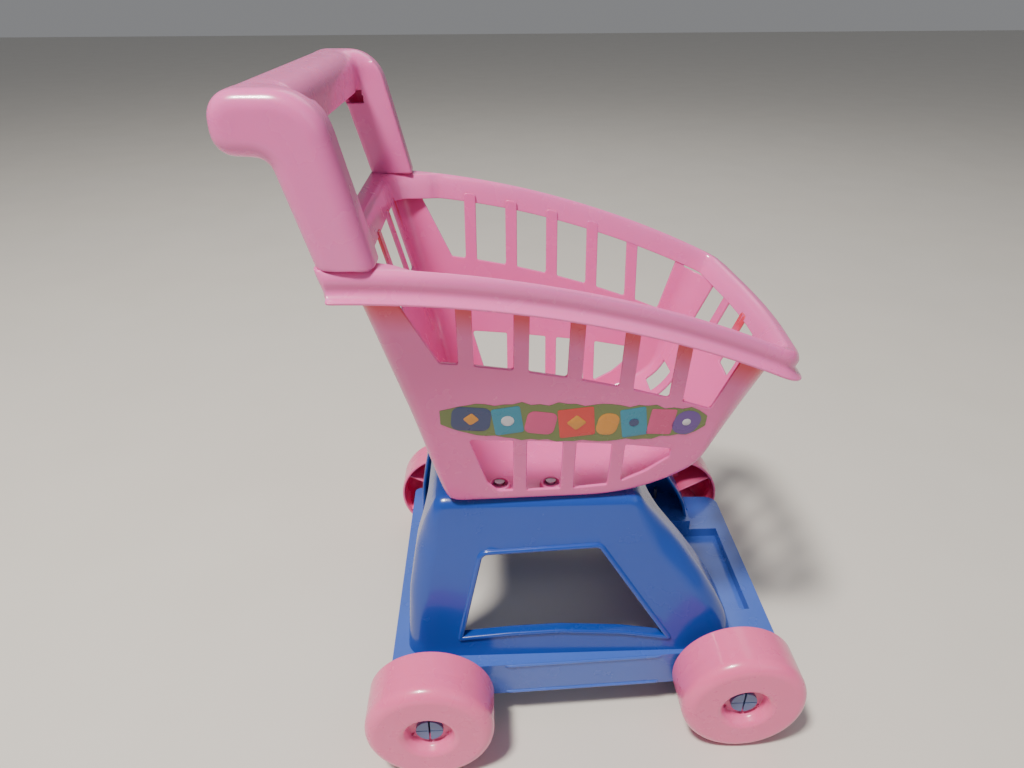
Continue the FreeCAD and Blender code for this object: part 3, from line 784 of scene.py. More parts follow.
@dataclass
class BandedShell:
    """Shell of one band, bent along a side outline, and two flat sides with rounded corners.

    Attributes:
        outline: Side outline of the band as (x, z), with the shell's inside on its left.
        half_width: Half the width at an (x, z).
        corner: Radius between band and sides at an (x, z).
        bow: How far the middle of the band stands forward at an (x, z).
        turns: Spans across a rounded corner.
        run: Length along the outline at each of its points.
    """

    outline: list[Flat]
    half_width: Measure
    corner: Measure
    bow: Measure
    turns: int = 7
    run: np.ndarray = field(init=False)

    def __post_init__(self) -> None:
        """Measure the run along the outline."""
        self.run = run_along(np.array(self.outline))

    def run_at(self, height: float, ahead: bool) -> float:
        """Run along the outline where its front or rear part reaches a height.

        Args:
            height: The height wanted.
            ahead: Whether the front part of the outline is meant.

        Returns:
            The run from the outline's start.
        """
        points = np.array(self.outline)
        middle = (points[:, 0].min() + points[:, 0].max()) / 2
        chosen = (points[:, 0] > middle) if ahead else (points[:, 0] <= middle)
        z, run = points[chosen, 1], self.run[chosen]
        order = np.argsort(z)
        return float(np.interp(height, z[order], run[order]))

    def band_point(self, run: float, y: float) -> Vector:
        """Find a point of the band.

        Args:
            run: Run along the outline.
            y: Distance from the middle plane, to the left.

        Returns:
            The point.
        """
        points = np.array(self.outline)
        x = float(np.interp(run, self.run, points[:, 0]))
        z = float(np.interp(run, self.run, points[:, 1]))
        share = y / self.half_width(x, z)
        return Vector((x + self.bow(x, z) * (1 - share * share), y, z))

    def side_point(self, x: float, z: float, sign: int) -> Vector:
        """Point of a flat side at an (x, z)."""
        return Vector((x, sign * self.half_width(x, z), z))

    def side_line(self) -> list[Flat]:
        """Move the outline in to where a flat side ends.

        Returns:
            The moved outline as (x, z).
        """
        points = np.array(self.outline)
        way = np.gradient(points, axis=0)
        way /= np.linalg.norm(way, axis=1, keepdims=True)
        radii = np.array([self.corner(x, z) for x, z in self.outline])
        moved = points + np.column_stack([-way[:, 1], way[:, 0]]) * radii[:, None]
        return [tuple(p) for p in moved]

    def band_line(self) -> list[Flat]:
        """Where the band ends on its left side, as (run, y)."""
        ends = [self.half_width(x, z) - self.corner(x, z) for x, z in self.outline]
        return list(zip(self.run, ends))

    def build(
        self,
        side_end: Sequence[Corner],
        first_end: Sequence[Corner],
        last_end: Sequence[Corner],
        side_holes: Sequence[Sequence[Corner]] = (),
        band_holes: Sequence[Sequence[Corner]] = (),
        step: float = 9.0,
    ) -> Skin:
        """Make the outer surface.

        Args:
            side_end: Corners (x, z, radius) of the sides' free edge, from the outline's end.
            first_end: Corners (run, y, radius) of the band's edge at its start, from the left.
            last_end: Corners of the band's edge at its end, from the right.
            side_holes: Holes in each side as corners (x, z, radius).
            band_holes: Holes in the band as corners (run, y, radius).
            step: Spacing of points inside the panels.

        Returns:
            The joined surface.
        """
        skin = Skin()
        line, edge = self.side_line(), self.band_line()
        side_loop = line + self.free_edge(line[-1], side_end, line[0], step)
        side_gaps = [self.hole_edge(hole, step) for hole in side_holes]
        flat, faces = filled(side_loop, side_gaps, step)
        for sign in (-1, 1):
            skin.patch([self.side_point(x, z, sign) for x, z in flat], faces)
        right = [(run, -y) for run, y in edge]
        band_loop = right + self.free_edge(right[-1], last_end, edge[-1], step)
        band_loop += edge[::-1] + self.free_edge(edge[0], first_end, right[0], step)
        band_gaps = [self.hole_edge(hole, step) for hole in band_holes]
        flat, faces = filled(band_loop, band_gaps, step)
        skin.patch([self.band_point(run, y) for run, y in flat], faces)
        for sign in (-1, 1):
            strips = []
            for (side_x, side_z), (run, y), (x, z) in zip(line, edge, self.outline):
                start, end = self.side_point(side_x, side_z, sign), self.band_point(run, sign * y)
                strips.append(arc_through(start, self.side_point(x, z, sign), end, self.turns))
            skin.rows(strips)
        middle_x, middle_z = np.array(self.outline).mean(axis=0)
        inside = Vector((middle_x, 0.0, middle_z))
        skin.join(lambda at, normal: (at - inside).dot(normal))
        return skin

    @staticmethod
    def free_edge(start: Flat, corners: Sequence[Corner], end: Flat, step: float) -> list[Flat]:
        """Walk a panel's free edge between two points that it already has.

        Args:
            start: The point before the edge.
            corners: The edge's corners.
            end: The point after it.
            step: Spacing of points inside the panel.

        Returns:
            The points between start and end.
        """
        path = rounded_path([(*start, 0.0), *corners, (*end, 0.0)])
        return spread(path, step * 0.7)[1:-1]

    @staticmethod
    def hole_edge(corners: Sequence[Corner], step: float) -> list[Flat]:
        """Closed edge of a hole in a panel whose inner points are a step apart."""
        return spread(rounded_path(corners, True), step * 0.6, True)


def arc_through(start: Vector, corner: Vector, end: Vector, steps: int) -> list[Vector]:
    """Round a sharp corner.

    Args:
        start: Where the arc starts.
        corner: The sharp corner.
        end: Where the arc ends.
        steps: How many spans it gets.

    Returns:
        The points of the arc in order.
    """
    points = []
    for i in range(steps + 1):
        t = i / steps
        weights = ((1 - t) ** 2, 2 * t * (1 - t) * math.sqrt(0.5), t * t)
        total = sum(weights)
        points.append((start * weights[0] + corner * weights[1] + end * weights[2]) / total)
    return points


# ------------------------------------------------------------------ basket


@dataclass
class Basket:
    """Slotted tapering basket with a nose that curves up from its floor, and its rim.

    Attributes:
        wall: Wall thickness.
        floor: Height of the floor's underside.
        half: Half the width of the walls at the origin of the drawing.
        narrowing: How much that shrinks for each millimetre forward.
        flare: How much it grows for each millimetre up.
        nose: Radius of the curved nose.
        nose_bow: How far the middle of the front wall stands forward.
        rim_curve: Radius of the rim's top line in side view.
        rim_apex: Highest point of that line, as (x, z).
        rim_half: Half the rim's width at x = 0.
        rim_narrowing: How much that shrinks for each millimetre forward.
        rim_wall: Thickness of the rim.
        rim_full: Room that the rim's inner half needs, in plan.
        rim_least: The least width of a side of the rim.
        rim_drafts: How much its inner face leans at the rear and at the front.
        foot_inside: Half the width inside the rim at the handle's feet.
        slat: Half the width of a slat, between its rounded edges.
        slats: How many slats stand on each side.
        pitch: Distance between slats along the sides and across the front.
        first_slat: Where the rearmost slat stands.
        top_drop: How far under the rim's top line the walls end.
        sill_drop: How far under the rim's top line the upper openings start.
        tip_round: Radius of the openings' upper corners.
        sill_round: Radius of their lower corners.
        front_slot_half: How far from the middle the front openings reach.
        rear_slot_half: How far from the middle the rear openings reach.
        rear_pitch: Distance between the slats across the rear.
        seat_rows: X of the two rows of screw seats.
        seat_half: How far from the middle the seats lie.
        seat_turns: Spans round a seat.
    """

    wall: float = 2.6
    floor: float = 207.0
    half: float = 41.0
    narrowing: float = 0.03
    flare: float = 0.17
    nose: float = 125.0
    nose_bow: float = 13.0
    rim_curve: float = 760.0
    rim_apex: Flat = (-200.0, 412.0)
    rim_half: float = 109.8
    rim_narrowing: float = 0.108
    rim_wall: float = 2.0
    rim_full: float = 9.0
    rim_least: float = 4.6
    rim_drafts: Flat = (0.25, 0.4)
    foot_inside: float = 103.5
    slat: float = 4.2
    slats: int = 5
    pitch: float = 35.5
    first_slat: float = -87.5
    top_drop: float = 12.5
    sill_drop: float = 67.8
    tip_round: float = 1.6
    sill_round: float = 2.6
    front_slot_half: float = 64.8
    rear_slot_half: float = 78.8
    rear_pitch: float = 50.0
    seat_rows: Flat = (-67.0, -27.0)
    seat_half: float = 64.0
    seat_turns: int = 40

    def rim_top(self, x: float) -> float:
        """Height of the rim's top line."""
        reach = x - self.rim_apex[0]
        return self.rim_apex[1] - self.rim_curve + math.sqrt(self.rim_curve**2 - reach * reach)

    def half_width(self, x: float, z: float) -> float:
        """Half the width of the walls."""
        return self.half - self.narrowing * x + self.flare * z

    def corner(self, x: float, z: float) -> float:
        """Radius of the walls' upright corners, which widens up the walls and at the front."""
        low = 5.0 + 7.0 * ease(z, 225.0, 300.0)
        return low + 3.0 * ease(z, 240.0, 300.0) * ease(x, 0.0, 60.0)

    def bow(self, x: float, z: float) -> float:
        """How far the middle of the front wall stands forward."""
        return self.nose_bow * ease(z, 236.0, 292.0) * ease(x, 20.0, 60.0)

    def tip_height(self, x: float) -> float:
        """Height where the walls end and the slats' tips stand."""
        return self.rim_top(x) - self.top_drop

    def sill_height(self, x: float) -> float:
        """Height of the sides' upper sills."""
        return self.rim_top(x) - self.sill_drop

    def shell(self) -> BandedShell:
        """Draw the walls' shell, before its openings are cut.

        Returns:
            The shell.
        """
        nose, floor = self.nose, self.floor
        arc = [math.radians(a) for a in range(0, 42, 3)]
        corners = [(-152.6, 393.5), (-106.0, floor)]
        corners += [(nose * math.sin(a), floor + nose * (1 - math.cos(a))) for a in arc]
        corners += [(83.0, 240.0), (115.6, 322.0)]
        return BandedShell(softened(corners, 7, 5.0), self.half_width, self.corner, self.bow)

    def comb(self, centres: Sequence[float], half: float, tip: float, sill: float) -> list[Corner]:
        """Corners of openings across an end wall, from one side to the other.

        Args:
            centres: Where the slats stand, in the order that they are met.
            half: How far from the middle the openings reach.
            tip: Run of the slats' tips.
            sill: Run of the openings' sills.

        Returns:
            The corners as (run, y, radius).
        """
        way = 1 if centres[-1] > centres[0] else -1
        upper, lower = self.tip_round, self.sill_round
        corners = [(tip, -way * half, upper), (sill, -way * half, lower)]
        for centre in centres:
            near, far = centre - way * self.slat, centre + way * self.slat
            corners += [(sill, near, lower), (tip, near, upper)]
            corners += [(tip, far, upper), (sill, far, lower)]
        return corners + [(sill, way * half, lower), (tip, way * half, upper)]

    def side_comb(self) -> list[Corner]:
        """Lay out a side wall's upper openings, from the front to the rear.

        Returns:
            Their corners as (x, z, radius).
        """
        tip, sill = self.tip_height, self.sill_height
        upper, lower = self.tip_round, self.sill_round
        corners = [(96.6, tip(96.6), 2.0), (80.5, sill(80.5), 3.0)]
        for i in reversed(range(self.slats)):
            centre = self.first_slat + self.pitch * i
            ahead, behind = centre + self.slat, centre - self.slat
            corners += [(ahead, sill(ahead), lower), (ahead, tip(ahead), upper)]
            corners += [(behind, tip(behind), upper), (behind, sill(behind), lower)]
        return corners + [(-105.0, sill(-105.0), 3.0), (-132.0, tip(-132.0) - 3.0, 2.5)]

    def lower_holes(self) -> list[list[Corner]]:
        """Lay out a side wall's lower openings, from the rear to the front.

        Returns:
            The corners of each as (x, z, radius).
        """
        return [
            [
                (-89.5, 272.0, 3.0), (-56.2, 269.6, 2.2), (-56.2, 216.8, 2.2),
                (-69.0, 217.0, 5.0), (-76.5, 226.0, 6.0),
            ],
            [(-47.8, 269.0, 2.2), (-20.7, 266.3, 2.2), (-20.7, 216.6, 2.2), (-47.8, 216.6, 2.2)],
            [(-12.3, 265.4, 2.2), (14.8, 262.6, 2.2), (14.8, 218.8, 2.2), (-12.3, 216.6, 2.2)],
            [
                (23.2, 261.6, 2.2), (58.5, 255.6, 3.0), (58.5, 246.5, 3.0),
                (42.0, 231.8, 20.0), (23.2, 221.5, 2.2),
            ],
        ]

    def build(self) -> None:
        """Make the walls, the rim and the screw seats."""
        shell = self.shell()
        pitch, half = self.pitch, self.front_slot_half
        front_tip, front_sill = shell.run[-1], shell.run_at(283.2, True)
        rear_sill = shell.run_at(337.2, False)
        nose_low, nose_high = shell.run_at(229.2, True), shell.run_at(249.8, True)
        gaps = [(-half, -pitch - self.slat), (-pitch + self.slat, -self.slat)]
        gaps += [(-end, -start) for start, end in gaps]
        nose_holes = [
            [(nose_low, a, 3.0), (nose_high, a, 2.4), (nose_high, b, 2.4), (nose_low, b, 3.0)]
            for a, b in gaps
        ]
        rear_slats = [self.rear_pitch, 0.0, -self.rear_pitch]
        skin = shell.build(
            side_end=self.side_comb(),
            first_end=self.comb(rear_slats, self.rear_slot_half, 0.0, rear_sill),
            last_end=self.comb([-pitch, 0.0, pitch], half, front_tip, front_sill),
            side_holes=self.lower_holes(),
            band_holes=nose_holes,
        )
        skin.thicken(self.wall, lambda middle: round_lip(self.wall))
        skin.to_piece("basket_walls", Finish.WALLS, "basket", replaces=["basket"])
        self.build_rim()
        self.build_seats()

    def build_seats(self) -> None:
        """Make the raised rings on the floor that the screws sit in."""
        corners = [(9.0, -0.2, 0.0), (8.2, 3.6, 0.9), (6.3, 3.6, 0.7), (5.6, -0.2, 0.0)]
        section = rounded_path(corners, steps=4)
        top = self.floor + self.wall
        skin = Skin()
        for x in self.seat_rows:
            for y in (-self.seat_half, self.seat_half):
                rows = []
                for i in range(self.seat_turns):
                    angle = math.tau * i / self.seat_turns
                    ahead, aside = math.cos(angle), math.sin(angle)
                    rows.append([
                        Vector((x + r * ahead, y + r * aside, top + up)) for r, up in section
                    ])
                skin.rows(rows, closed=True)
        skin.join(lambda at, normal: normal.z if at.z > top + 3.4 else 0.0)
        skin.to_piece("basket_screw_seats", Finish.BASKET, "basket")

    def rim_plan(
        self, rear: Flat, corner: Flat, nose: Flat, half: Callable[[float], float]
    ) -> list[Flat]:
        """Draw the closed plan of the rim, or of the walls under it.

        Args:
            rear: X and radius of the rear corners.
            corner: X and radius of the front corners.
            nose: X and radius of the bowed front.
            half: Half the width at an X.

        Returns:
            The plan as (x, y), its straight runs divided evenly.
        """
        (rear_x, rear_round), (corner_x, corner_round), (nose_x, nose_round) = rear, corner, nose
        right = [(rear_x, -half(rear_x), rear_round), (corner_x, -half(corner_x), corner_round)]
        left = [(x, -y, radius) for x, y, radius in right[::-1]]
        corners = [*right, (nose_x, 0.0, nose_round), *left]
        straight = (half(corner_x) - half(rear_x)) / (corner_x - rear_x)
        path = spread(rounded_path(corners, True, steps=8), 7.0, True)
        return [(x, y * half(x) / (half(rear_x) + straight * (x - rear_x))) for x, y in path]

    def rim_inside(self, x: float) -> float:
        """Half the width inside the rim.

        Args:
            x: Where along the trolley.

        Returns:
            The half width, drawn in under the handle's feet.
        """
        foot = ease(-x, 112.0, 134.0)
        walls = min(self.half_width(x, self.rim_top(x)), self.rim_outside(x) - self.rim_least)
        return (1 - foot) * walls + foot * self.foot_inside

    def rim_room(self, x: float) -> float:
        """Share of its full width that the rim's inner half has room for at an X."""
        return min(1.0, (self.rim_outside(x) - self.rim_inside(x)) / self.rim_full)

    def rim_ring(self, out: float, drop: float) -> np.ndarray:
        """Draw a level line of the rim's inner face.

        Args:
            out: How far it stands outside the walls.
            drop: How far it lies under the rim's top line.

        Returns:
            Closely spaced points as (x, y).
        """
        rear, front = (out - draft * drop for draft in self.rim_drafts)
        ring = self.rim_plan(
            (-155.6 - rear, 15.0), (123.0 + front, 12.0 + front), (137.0 + front, 330.0),
            lambda x: self.rim_inside(x) + out * self.rim_room(x) - self.flare * drop,
        )
        return np.array(spread(ring, 0.7, True))

    def rim_outside(self, x: float) -> float:
        """Half the rim's width at an X."""
        return self.rim_half - self.rim_narrowing * x

    def build_rim(self) -> None:
        """Make the rim: a rounded channel, from the slats up and over to a flared lip."""
        flange = [
            (-0.6, 18.4), (-0.5, 15.5), (-0.4, 12.0), (-0.2, 8.6), (0.2, 5.8), (0.8, 3.4),
            (1.6, 1.6), (2.6, 0.5), (3.6, -0.1),
        ]
        face = [
            (-5.2, -0.3), (-3.7, 0.1), (-2.3, 0.9), (-1.2, 2.2), (-0.5, 3.9), (-0.1, 5.8),
            (-0.5, 8.0), (-1.2, 10.0), (-1.5, 11.8), (-0.9, 13.4), (0.4, 14.8), (2.0, 15.8),
            (3.6, 16.6),
        ]
        outer = self.rim_plan((-170.0, 7.0), (136.0, 20.0), (150.0, 380.0), self.rim_outside)
        rings = [(self.rim_ring(out, drop), drop) for out, drop in flange]
        rows = []
        for i, point in enumerate(outer):
            along = Vector(outer[(i + 1) % len(outer)]) - Vector(outer[i - 1])
            out = Vector((along.y, -along.x)).normalized()
            behind = ease(-point[0], 162.0, 169.0)
            row = []
            near = np.array(point)
            for ring, drop in rings[::-1]:
                near = ring[np.linalg.norm(ring - near, axis=1).argmin()]
                row.insert(0, (Vector(near), drop))
            room = self.rim_room(point[0]) if abs(out.y) > 0.7 else 1.0
            for stand_out, drop in face:
                share = room if drop < 5.0 else 1.0
                at = Vector(point) + out * stand_out * (1.0 - 0.85 * behind) * share
                at.x += 0.28 * drop * behind
                row.append((at, drop))
            rows.append([Vector((at.x, at.y, self.rim_top(at.x) - drop)) for at, drop in row])
        skin = Skin()
        skin.rows(rows, closed=True)
        skin.join(lambda at, normal: normal.z)
        skin.thicken(self.rim_wall, lambda middle: round_lip(self.rim_wall, 0.7))
        skin.to_piece("basket_rim", Finish.BASKET, "basket")


# ------------------------------------------------------------------ stand


@dataclass
class Stand:
    """Arched stand, open below, with a lipped window in each side and an arch at each end.

    Attributes:
        wall: Wall thickness.
        foot: Height of its feet.
        foot_half: Half its width at the feet.
        taper: How much that shrinks for each millimetre of height.
        arch_half: Half the width of the end arches.
        arch_top: Height of their tops.
        arch_shoulder: Radius of their upper corners.
        arch_lean: How far an arch's sides lean in up to its top.
    """

    wall: float = 3.0
    foot: float = 66.0
    foot_half: float = 104.5
    taper: float = 28.5 / 141.0
    arch_half: float = 62.0
    arch_top: float = 186.0
    arch_shoulder: float = 20.0
    arch_lean: float = 14.0

    def half_width(self, x: float, z: float) -> float:
        """Half the stand's width, which only its height decides."""
        return self.foot_half - self.taper * (z - self.foot)

    def corner(self, x: float, z: float) -> float:
        """Radius of its upright corners, which tightens near the top."""
        return 17.0 - 9.0 * ease(z, 165.0, 204.0)

    def build(self) -> None:
        """Make the stand's shell."""
        corners = [
            (128.0, self.foot), (122.0, 88.0), (113.0, 105.0), (100.0, 126.0), (84.0, 148.0),
            (68.0, 168.0), (51.0, 190.0), (40.0, 207.0), (-116.0, 207.0), (-126.0, 186.0),
            (-135.0, 158.0), (-142.0, 120.0), (-146.0, self.foot),
        ]
        window = [
            (-104.5, 80.5, 2.5), (-85.0, 163.5, 10.0), (12.5, 168.0, 9.0), (75.5, 75.5, 2.5),
            (30.0, 82.5, 60.0), (-19.0, 85.5, 60.0), (-60.0, 84.0, 60.0),
        ]
        shell = BandedShell(softened(corners, 4, 4.0), self.half_width, self.corner, unbowed)
        front, rear = shell.run_at(self.arch_top, True), shell.run_at(self.arch_top, False)
        skin = shell.build(
            side_end=[],
            first_end=self.arch(0.0, front, 1),
            last_end=self.arch(shell.run[-1], rear, -1),
            side_holes=[window],
        )
        skin.thicken(self.wall, self.lip)
        skin.to_piece("stand_shell", Finish.STAND, "stand", replaces=["stand"])

    def arch(self, foot: float, top: float, side: int) -> list[Corner]:
        """Lay out an end arch.

        Args:
            foot: Run of its feet.
            top: Run of its top.
            side: 1 to start on the left, -1 to start on the right.

        Returns:
            Its corners as (run, y, radius).
        """
        half = side * self.arch_half
        crown = side * (self.arch_half - self.arch_lean)
        shoulder = self.arch_shoulder
        return [
            (foot, half, 2.0), (top, crown, shoulder), (top, -crown, shoulder), (foot, -half, 2.0)
        ]

    def lip(self, middle: Vector) -> list[Flat]:
        """Shape an edge: a raised rounded lip round a side window, plain and rounded elsewhere.

        Args:
            middle: Middle of the edge.

        Returns:
            The steps over it as (out, up).
        """
        beside = abs(middle.y) > 70.0
        if not (beside and abs(middle.z - 120.0) < 25.0 and abs(middle.x + 30.0) < 30.0):
            return round_lip(self.wall, 1.0)
        return [
            (0.3, 0.6), (0.8, 1.5), (1.6, 2.2), (2.7, 2.4), (3.7, 2.1), (4.3, 1.3), (4.5, 0.2),
            (4.5, -3.0), (4.5, -6.5), (4.2, -7.2), (3.5, -7.5), (2.8, -7.2), (2.5, -6.5),
            (2.2, -4.4), (1.2, -3.3),
        ]


# ------------------------------------------------------------------ handle


@dataclass
class Handle:
    """U-shaped push handle: two leaning hollow arms that bend back into a grip open underneath.

    Attributes:
        half: Half its width over both arms.
        arm: Width of an arm.
        wall: Wall thickness.
        foot: Height of its feet.
        top: Height of the grip's top.
        outer_round: Radius of the arms' outer edges.
        grip_round: Radius of the grip's upper front edge.
        grip_front: X of the grip's front.
        grip_low: Height of the grip's underside at its front.
        voxel: Grain that the solid is blended at.
        melt_steps: How often the whole surface is smoothed.
        blend_steps: How often the corners of grip and arms are smoothed after that.
    """

    half: float = 127.0
    arm: float = 24.0
    wall: float = 2.6
    foot: float = 411.0
    top: float = 505.0
    outer_round: float = 9.0
    grip_round: float = 14.0
    grip_front: float = -172.0
    grip_low: float = 473.0
    voxel: float = 1.0
    melt_steps: int = 26
    blend_steps: int = 90

    def outline(self) -> list[Flat]:
        """Draw an arm's side outline.

        Returns:
            The outline as (x, z), from the front foot over the grip to the rear foot.
        """
        corners = [
            (-134.5, 409.0, 0.0), (-156.9, self.top, 28.0), (-212.0, self.top, 15.0),
            (-212.0, 472.5, 12.0), (-184.5, 471.0, 9.0), (-168.5, 410.5, 0.0),
        ]
        return spread(rounded_path(corners, steps=9), 12.0)

    def build(self) -> None:
        """Make the handle solid, blend its inner corners, then open it below and hollow it."""
        piece = self.cage()
        rounding = piece.modifiers.new("rounding", "BEVEL")
        rounding.limit_method = "WEIGHT"
        rounding.width = self.outer_round / METRE
        rounding.segments = 7
        rounding.use_clamp_overlap = False
        grain = piece.modifiers.new("grain", "REMESH")
        grain.mode = "VOXEL"
        grain.voxel_size = self.voxel / METRE
        melt = piece.modifiers.new("melt", "SMOOTH")
        melt.factor = 0.5
        melt.iterations = self.melt_steps
        bpy.context.view_layer.update()
        shaped = piece.evaluated_get(bpy.context.evaluated_depsgraph_get())
        mesh = bmesh.new()
        mesh.from_mesh(shaped.to_mesh())
        shaped.to_mesh_clear()
        piece.modifiers.clear()
        self.blend_corners(mesh)
        self.open_below(mesh)
        mesh.to_mesh(piece.data)
        mesh.free()
        hollow = piece.modifiers.new("hollow", "SOLIDIFY")
        hollow.thickness = self.wall / METRE
        hollow.offset = -1.0
        dress(piece, Finish.BASKET, ROOT, ["handle"])

    def blend_corners(self, mesh: bmesh.types.BMesh) -> None:
        """Smooth the corners where the grip runs into the arms.

        Args:
            mesh: The closed handle in the row frame, smoothed in place.
        """
        low = in_row(Vector((self.grip_front - 15.0, 0.0, self.grip_low - 6.0)))
        high = in_row(Vector((self.grip_front + 12.0, 0.0, 0.0)))
        inner_half = (self.half - self.arm) / METRE
        near, far = inner_half - 0.016, inner_half + 0.007
        soft = [
            vert for vert in mesh.verts
            if vert.co.z > low.z and low.x < vert.co.x < high.x and near < abs(vert.co.y) < far
        ]
        axes = {"use_axis_x": True, "use_axis_y": True, "use_axis_z": True}
        for _ in range(self.blend_steps):
            bmesh.ops.smooth_vert(mesh, verts=soft, factor=0.5, **axes)

    def cage(self) -> bpy.types.Object:
        """Make two sharp arms and the grip between them, with the outer edges marked for rounding.

        Returns:
            The three solids as one object, not yet on a body.
        """
        mesh = bmesh.new()
        weight = mesh.edges.layers.float.new("bevel_weight_edge")
        inner_half = self.half - self.arm
        for sign in (-1, 1):
            self.add_prism(mesh, self.outline(), sign * inner_half, sign * self.half)
        reach, front, top = inner_half + 12.0, self.grip_front, self.top - 0.2
        grip = [
            (-211.8, top, 15.0), (-211.8, 472.5, 12.0), (front, self.grip_low, 2.0),
            (front, top, self.grip_round),
        ]
        self.add_prism(mesh, rounded_path(grip, True, 9), -reach, reach)
        bmesh.ops.recalc_face_normals(mesh, faces=mesh.faces)
        for edge in mesh.edges:
            outer = all(abs(abs(v.co.y) - self.half) < 0.1 for v in edge.verts)
            if outer and any(v.co.z > self.foot + 1.0 for v in edge.verts):
                edge[weight] = 1.0
        for vert in mesh.verts:
            vert.co = in_row(vert.co)
        data = bpy.data.meshes.new("handle_shell")
        mesh.to_mesh(data)
        mesh.free()
        piece = bpy.data.objects.new("handle_shell", data)
        bpy.context.scene.collection.objects.link(piece)
        return piece

    @staticmethod
    def add_prism(
        mesh: bmesh.types.BMesh, outline: Sequence[Flat], start: float, end: float
    ) -> None:
        """Add a closed prism across the trolley.

        Args:
            mesh: Where the prism goes.
            outline: Its side outline as (x, z).
            start: Y of its one end.
            end: Y of its other end.
        """
        rings = [[mesh.verts.new((x, y, z)) for x, z in outline] for y in (start, end)]
        for ring in rings:
            mesh.faces.new(ring)
        near, far = rings
        for i in range(len(outline)):
            k = (i + 1) % len(outline)
            mesh.faces.new((near[i], near[k], far[k], far[i]))

    def open_below(self, mesh: bmesh.types.BMesh) -> None:
        """Cut the feet and the underside of the grip open.

        Args:
            mesh: The closed handle in the row frame, cut in place.
        """
        foot = in_row(Vector((0.0, 0.0, self.foot)))
        inner_half = self.half - self.arm + self.wall
        low = in_row(Vector((self.grip_front + self.wall, inner_half, self.grip_low + 3.5)))
        for height in (foot.z, low.z):
            bmesh.ops.bisect_plane(
                mesh, geom=[*mesh.verts, *mesh.edges, *mesh.faces],
                plane_co=(0, 0, height), plane_no=(0, 0, 1), dist=1e-6,
            )
        doomed = []
        for face in mesh.faces:
            at = face.calc_center_median()
            under_grip = abs(at.y) < low.y and at.x < low.x and low.z - 0.01 < at.z < low.z
            if at.z < foot.z or under_grip:
                doomed.append(face)
        bmesh.ops.delete(mesh, geom=doomed, context="FACES")


# ------------------------------------------------------------------ wheels and pins


@dataclass
class Wheel:
    """Hollow doughnut wheel with a recessed hub, open on its inner side, with ribs.

    Attributes:
        end: Whether it is a rear or a front wheel.
        side: Whether it is on the right or the left.
        radius: Radius of its tread.
        width: Its width.
        bore: Radius of the hub's bore.
        spans: Spans round the wheel.
        ribs: How many ribs it has.
        rib_half: Half the thickness of a rib.
    """

    end: str
    side: str
    radius: float = 50.0
    width: float = 40.0
    bore: float = 7.1
    spans: int = 120
    ribs: int = 6
    rib_half: float = 0.8

    @property
    def node(self) -> str:
        """Name of the CAD wheel."""
        return f"wheel_{self.end}_{self.side}"

    def section(self) -> list[Flat]:
        """Draw the wheel's closed section.

        Returns:
            The section as (radius, depth), with depth from the open inner side.
        """
        radius, width, bore = self.radius, self.width, self.bore
        corners = [
            (radius, 0.0, 1.0), (radius, 19.6, 0.0), (49.75, 20.0, 0.0), (radius, 20.4, 0.0),
            (radius, width, 19.3), (20.5, width, 8.0), (16.9, 34.0, 3.0), (15.9, 30.0, 0.8),
            (bore, 30.0, 0.3), (bore, 2.0, 0.5), (11.5, 2.0, 0.5), (11.5, 27.5, 1.0),
            (18.2, 27.5, 1.0), (19.0, 34.8, 4.0), (25.0, 37.5, 8.0), (47.5, 37.5, 17.0),
            (47.5, 0.0, 1.0),
        ]
        return spread(rounded_path(corners, True, 14), 8.0, True)

    def build(self) -> None:
        """Make the wheel and its ribs as one piece on its own body."""
        low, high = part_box(self.node)
        centre = (low + high) / 2 * METRE
        centre.x -= DRAWN_ABOUT * METRE
        sign = 1 if self.side == "left" else -1
        start = centre.y - sign * self.width / 2
        skin = Skin()
        section = self.section()
        rows = []
        for i in range(self.spans):
            angle = math.tau * i / self.spans
            ahead, up = math.sin(angle), math.cos(angle)
            rows.append([
                Vector((centre.x + r * ahead, start + sign * depth, centre.z + r * up))
                for r, depth in [*section, section[0]]
            ])
        skin.rows(rows, closed=True)
        skin.join(lambda at, normal: self.tread_facing(centre, at, normal), 0.01)
        for i in range(self.ribs):
            self.add_rib(skin, centre, start, sign, math.tau * i / self.ribs)
        skin.to_piece(f"{self.node}_tyre", Finish.WHEEL, "wheel", f"{self.node}_body", [self.node])

    def tread_facing(self, centre: Vector, at: Vector, normal: Vector) -> float:
        """Find how far a face of the tread looks away from the axle.

        Args:
            centre: Middle of the wheel.
            at: Middle of the face.
            normal: The face's normal.

        Returns:
            That measure, or 0 for a face that isn't on the tread.
        """
        spoke = Vector((at.x - centre.x, 0, at.z - centre.z))
        return normal.dot(spoke) if (at - centre).length > self.radius - 1 else 0.0

    def add_rib(self, skin: Skin, centre: Vector, start: float, sign: int, angle: float) -> None:
        """Add one radial rib with a rounded free edge.

        Args:
            skin: Where the rib goes.
            centre: Middle of the wheel.
            start: Y of the wheel's open side.
            sign: Which way along Y the wheel's outside is.
            angle: The rib's direction round the wheel.
        """
        half = self.rib_half
        section = [
            (-half, 4.8), (-0.5, 4.2), (0.0, 4.0), (0.5, 4.2), (half, 4.8), (half, 37.0),
            (-half, 37.0),
        ]
        way = Vector((math.sin(angle), 0.0, math.cos(angle)))
        across = Vector((way.z, 0.0, -way.x))
        middle = Vector((centre.x, start, centre.z))
        rows = []
        for reach, deepest in ((11.0, 27.8), (24.0, 37.2), (36.0, 37.2), (48.6, 20.0)):
            rows.append([
                middle + way * reach + across * a + Vector((0, sign * min(depth, deepest), 0))
                for a, depth in [*section, section[0]]
            ])
        skin.rows(rows)


# ------------------------------------------------------------------ base trim


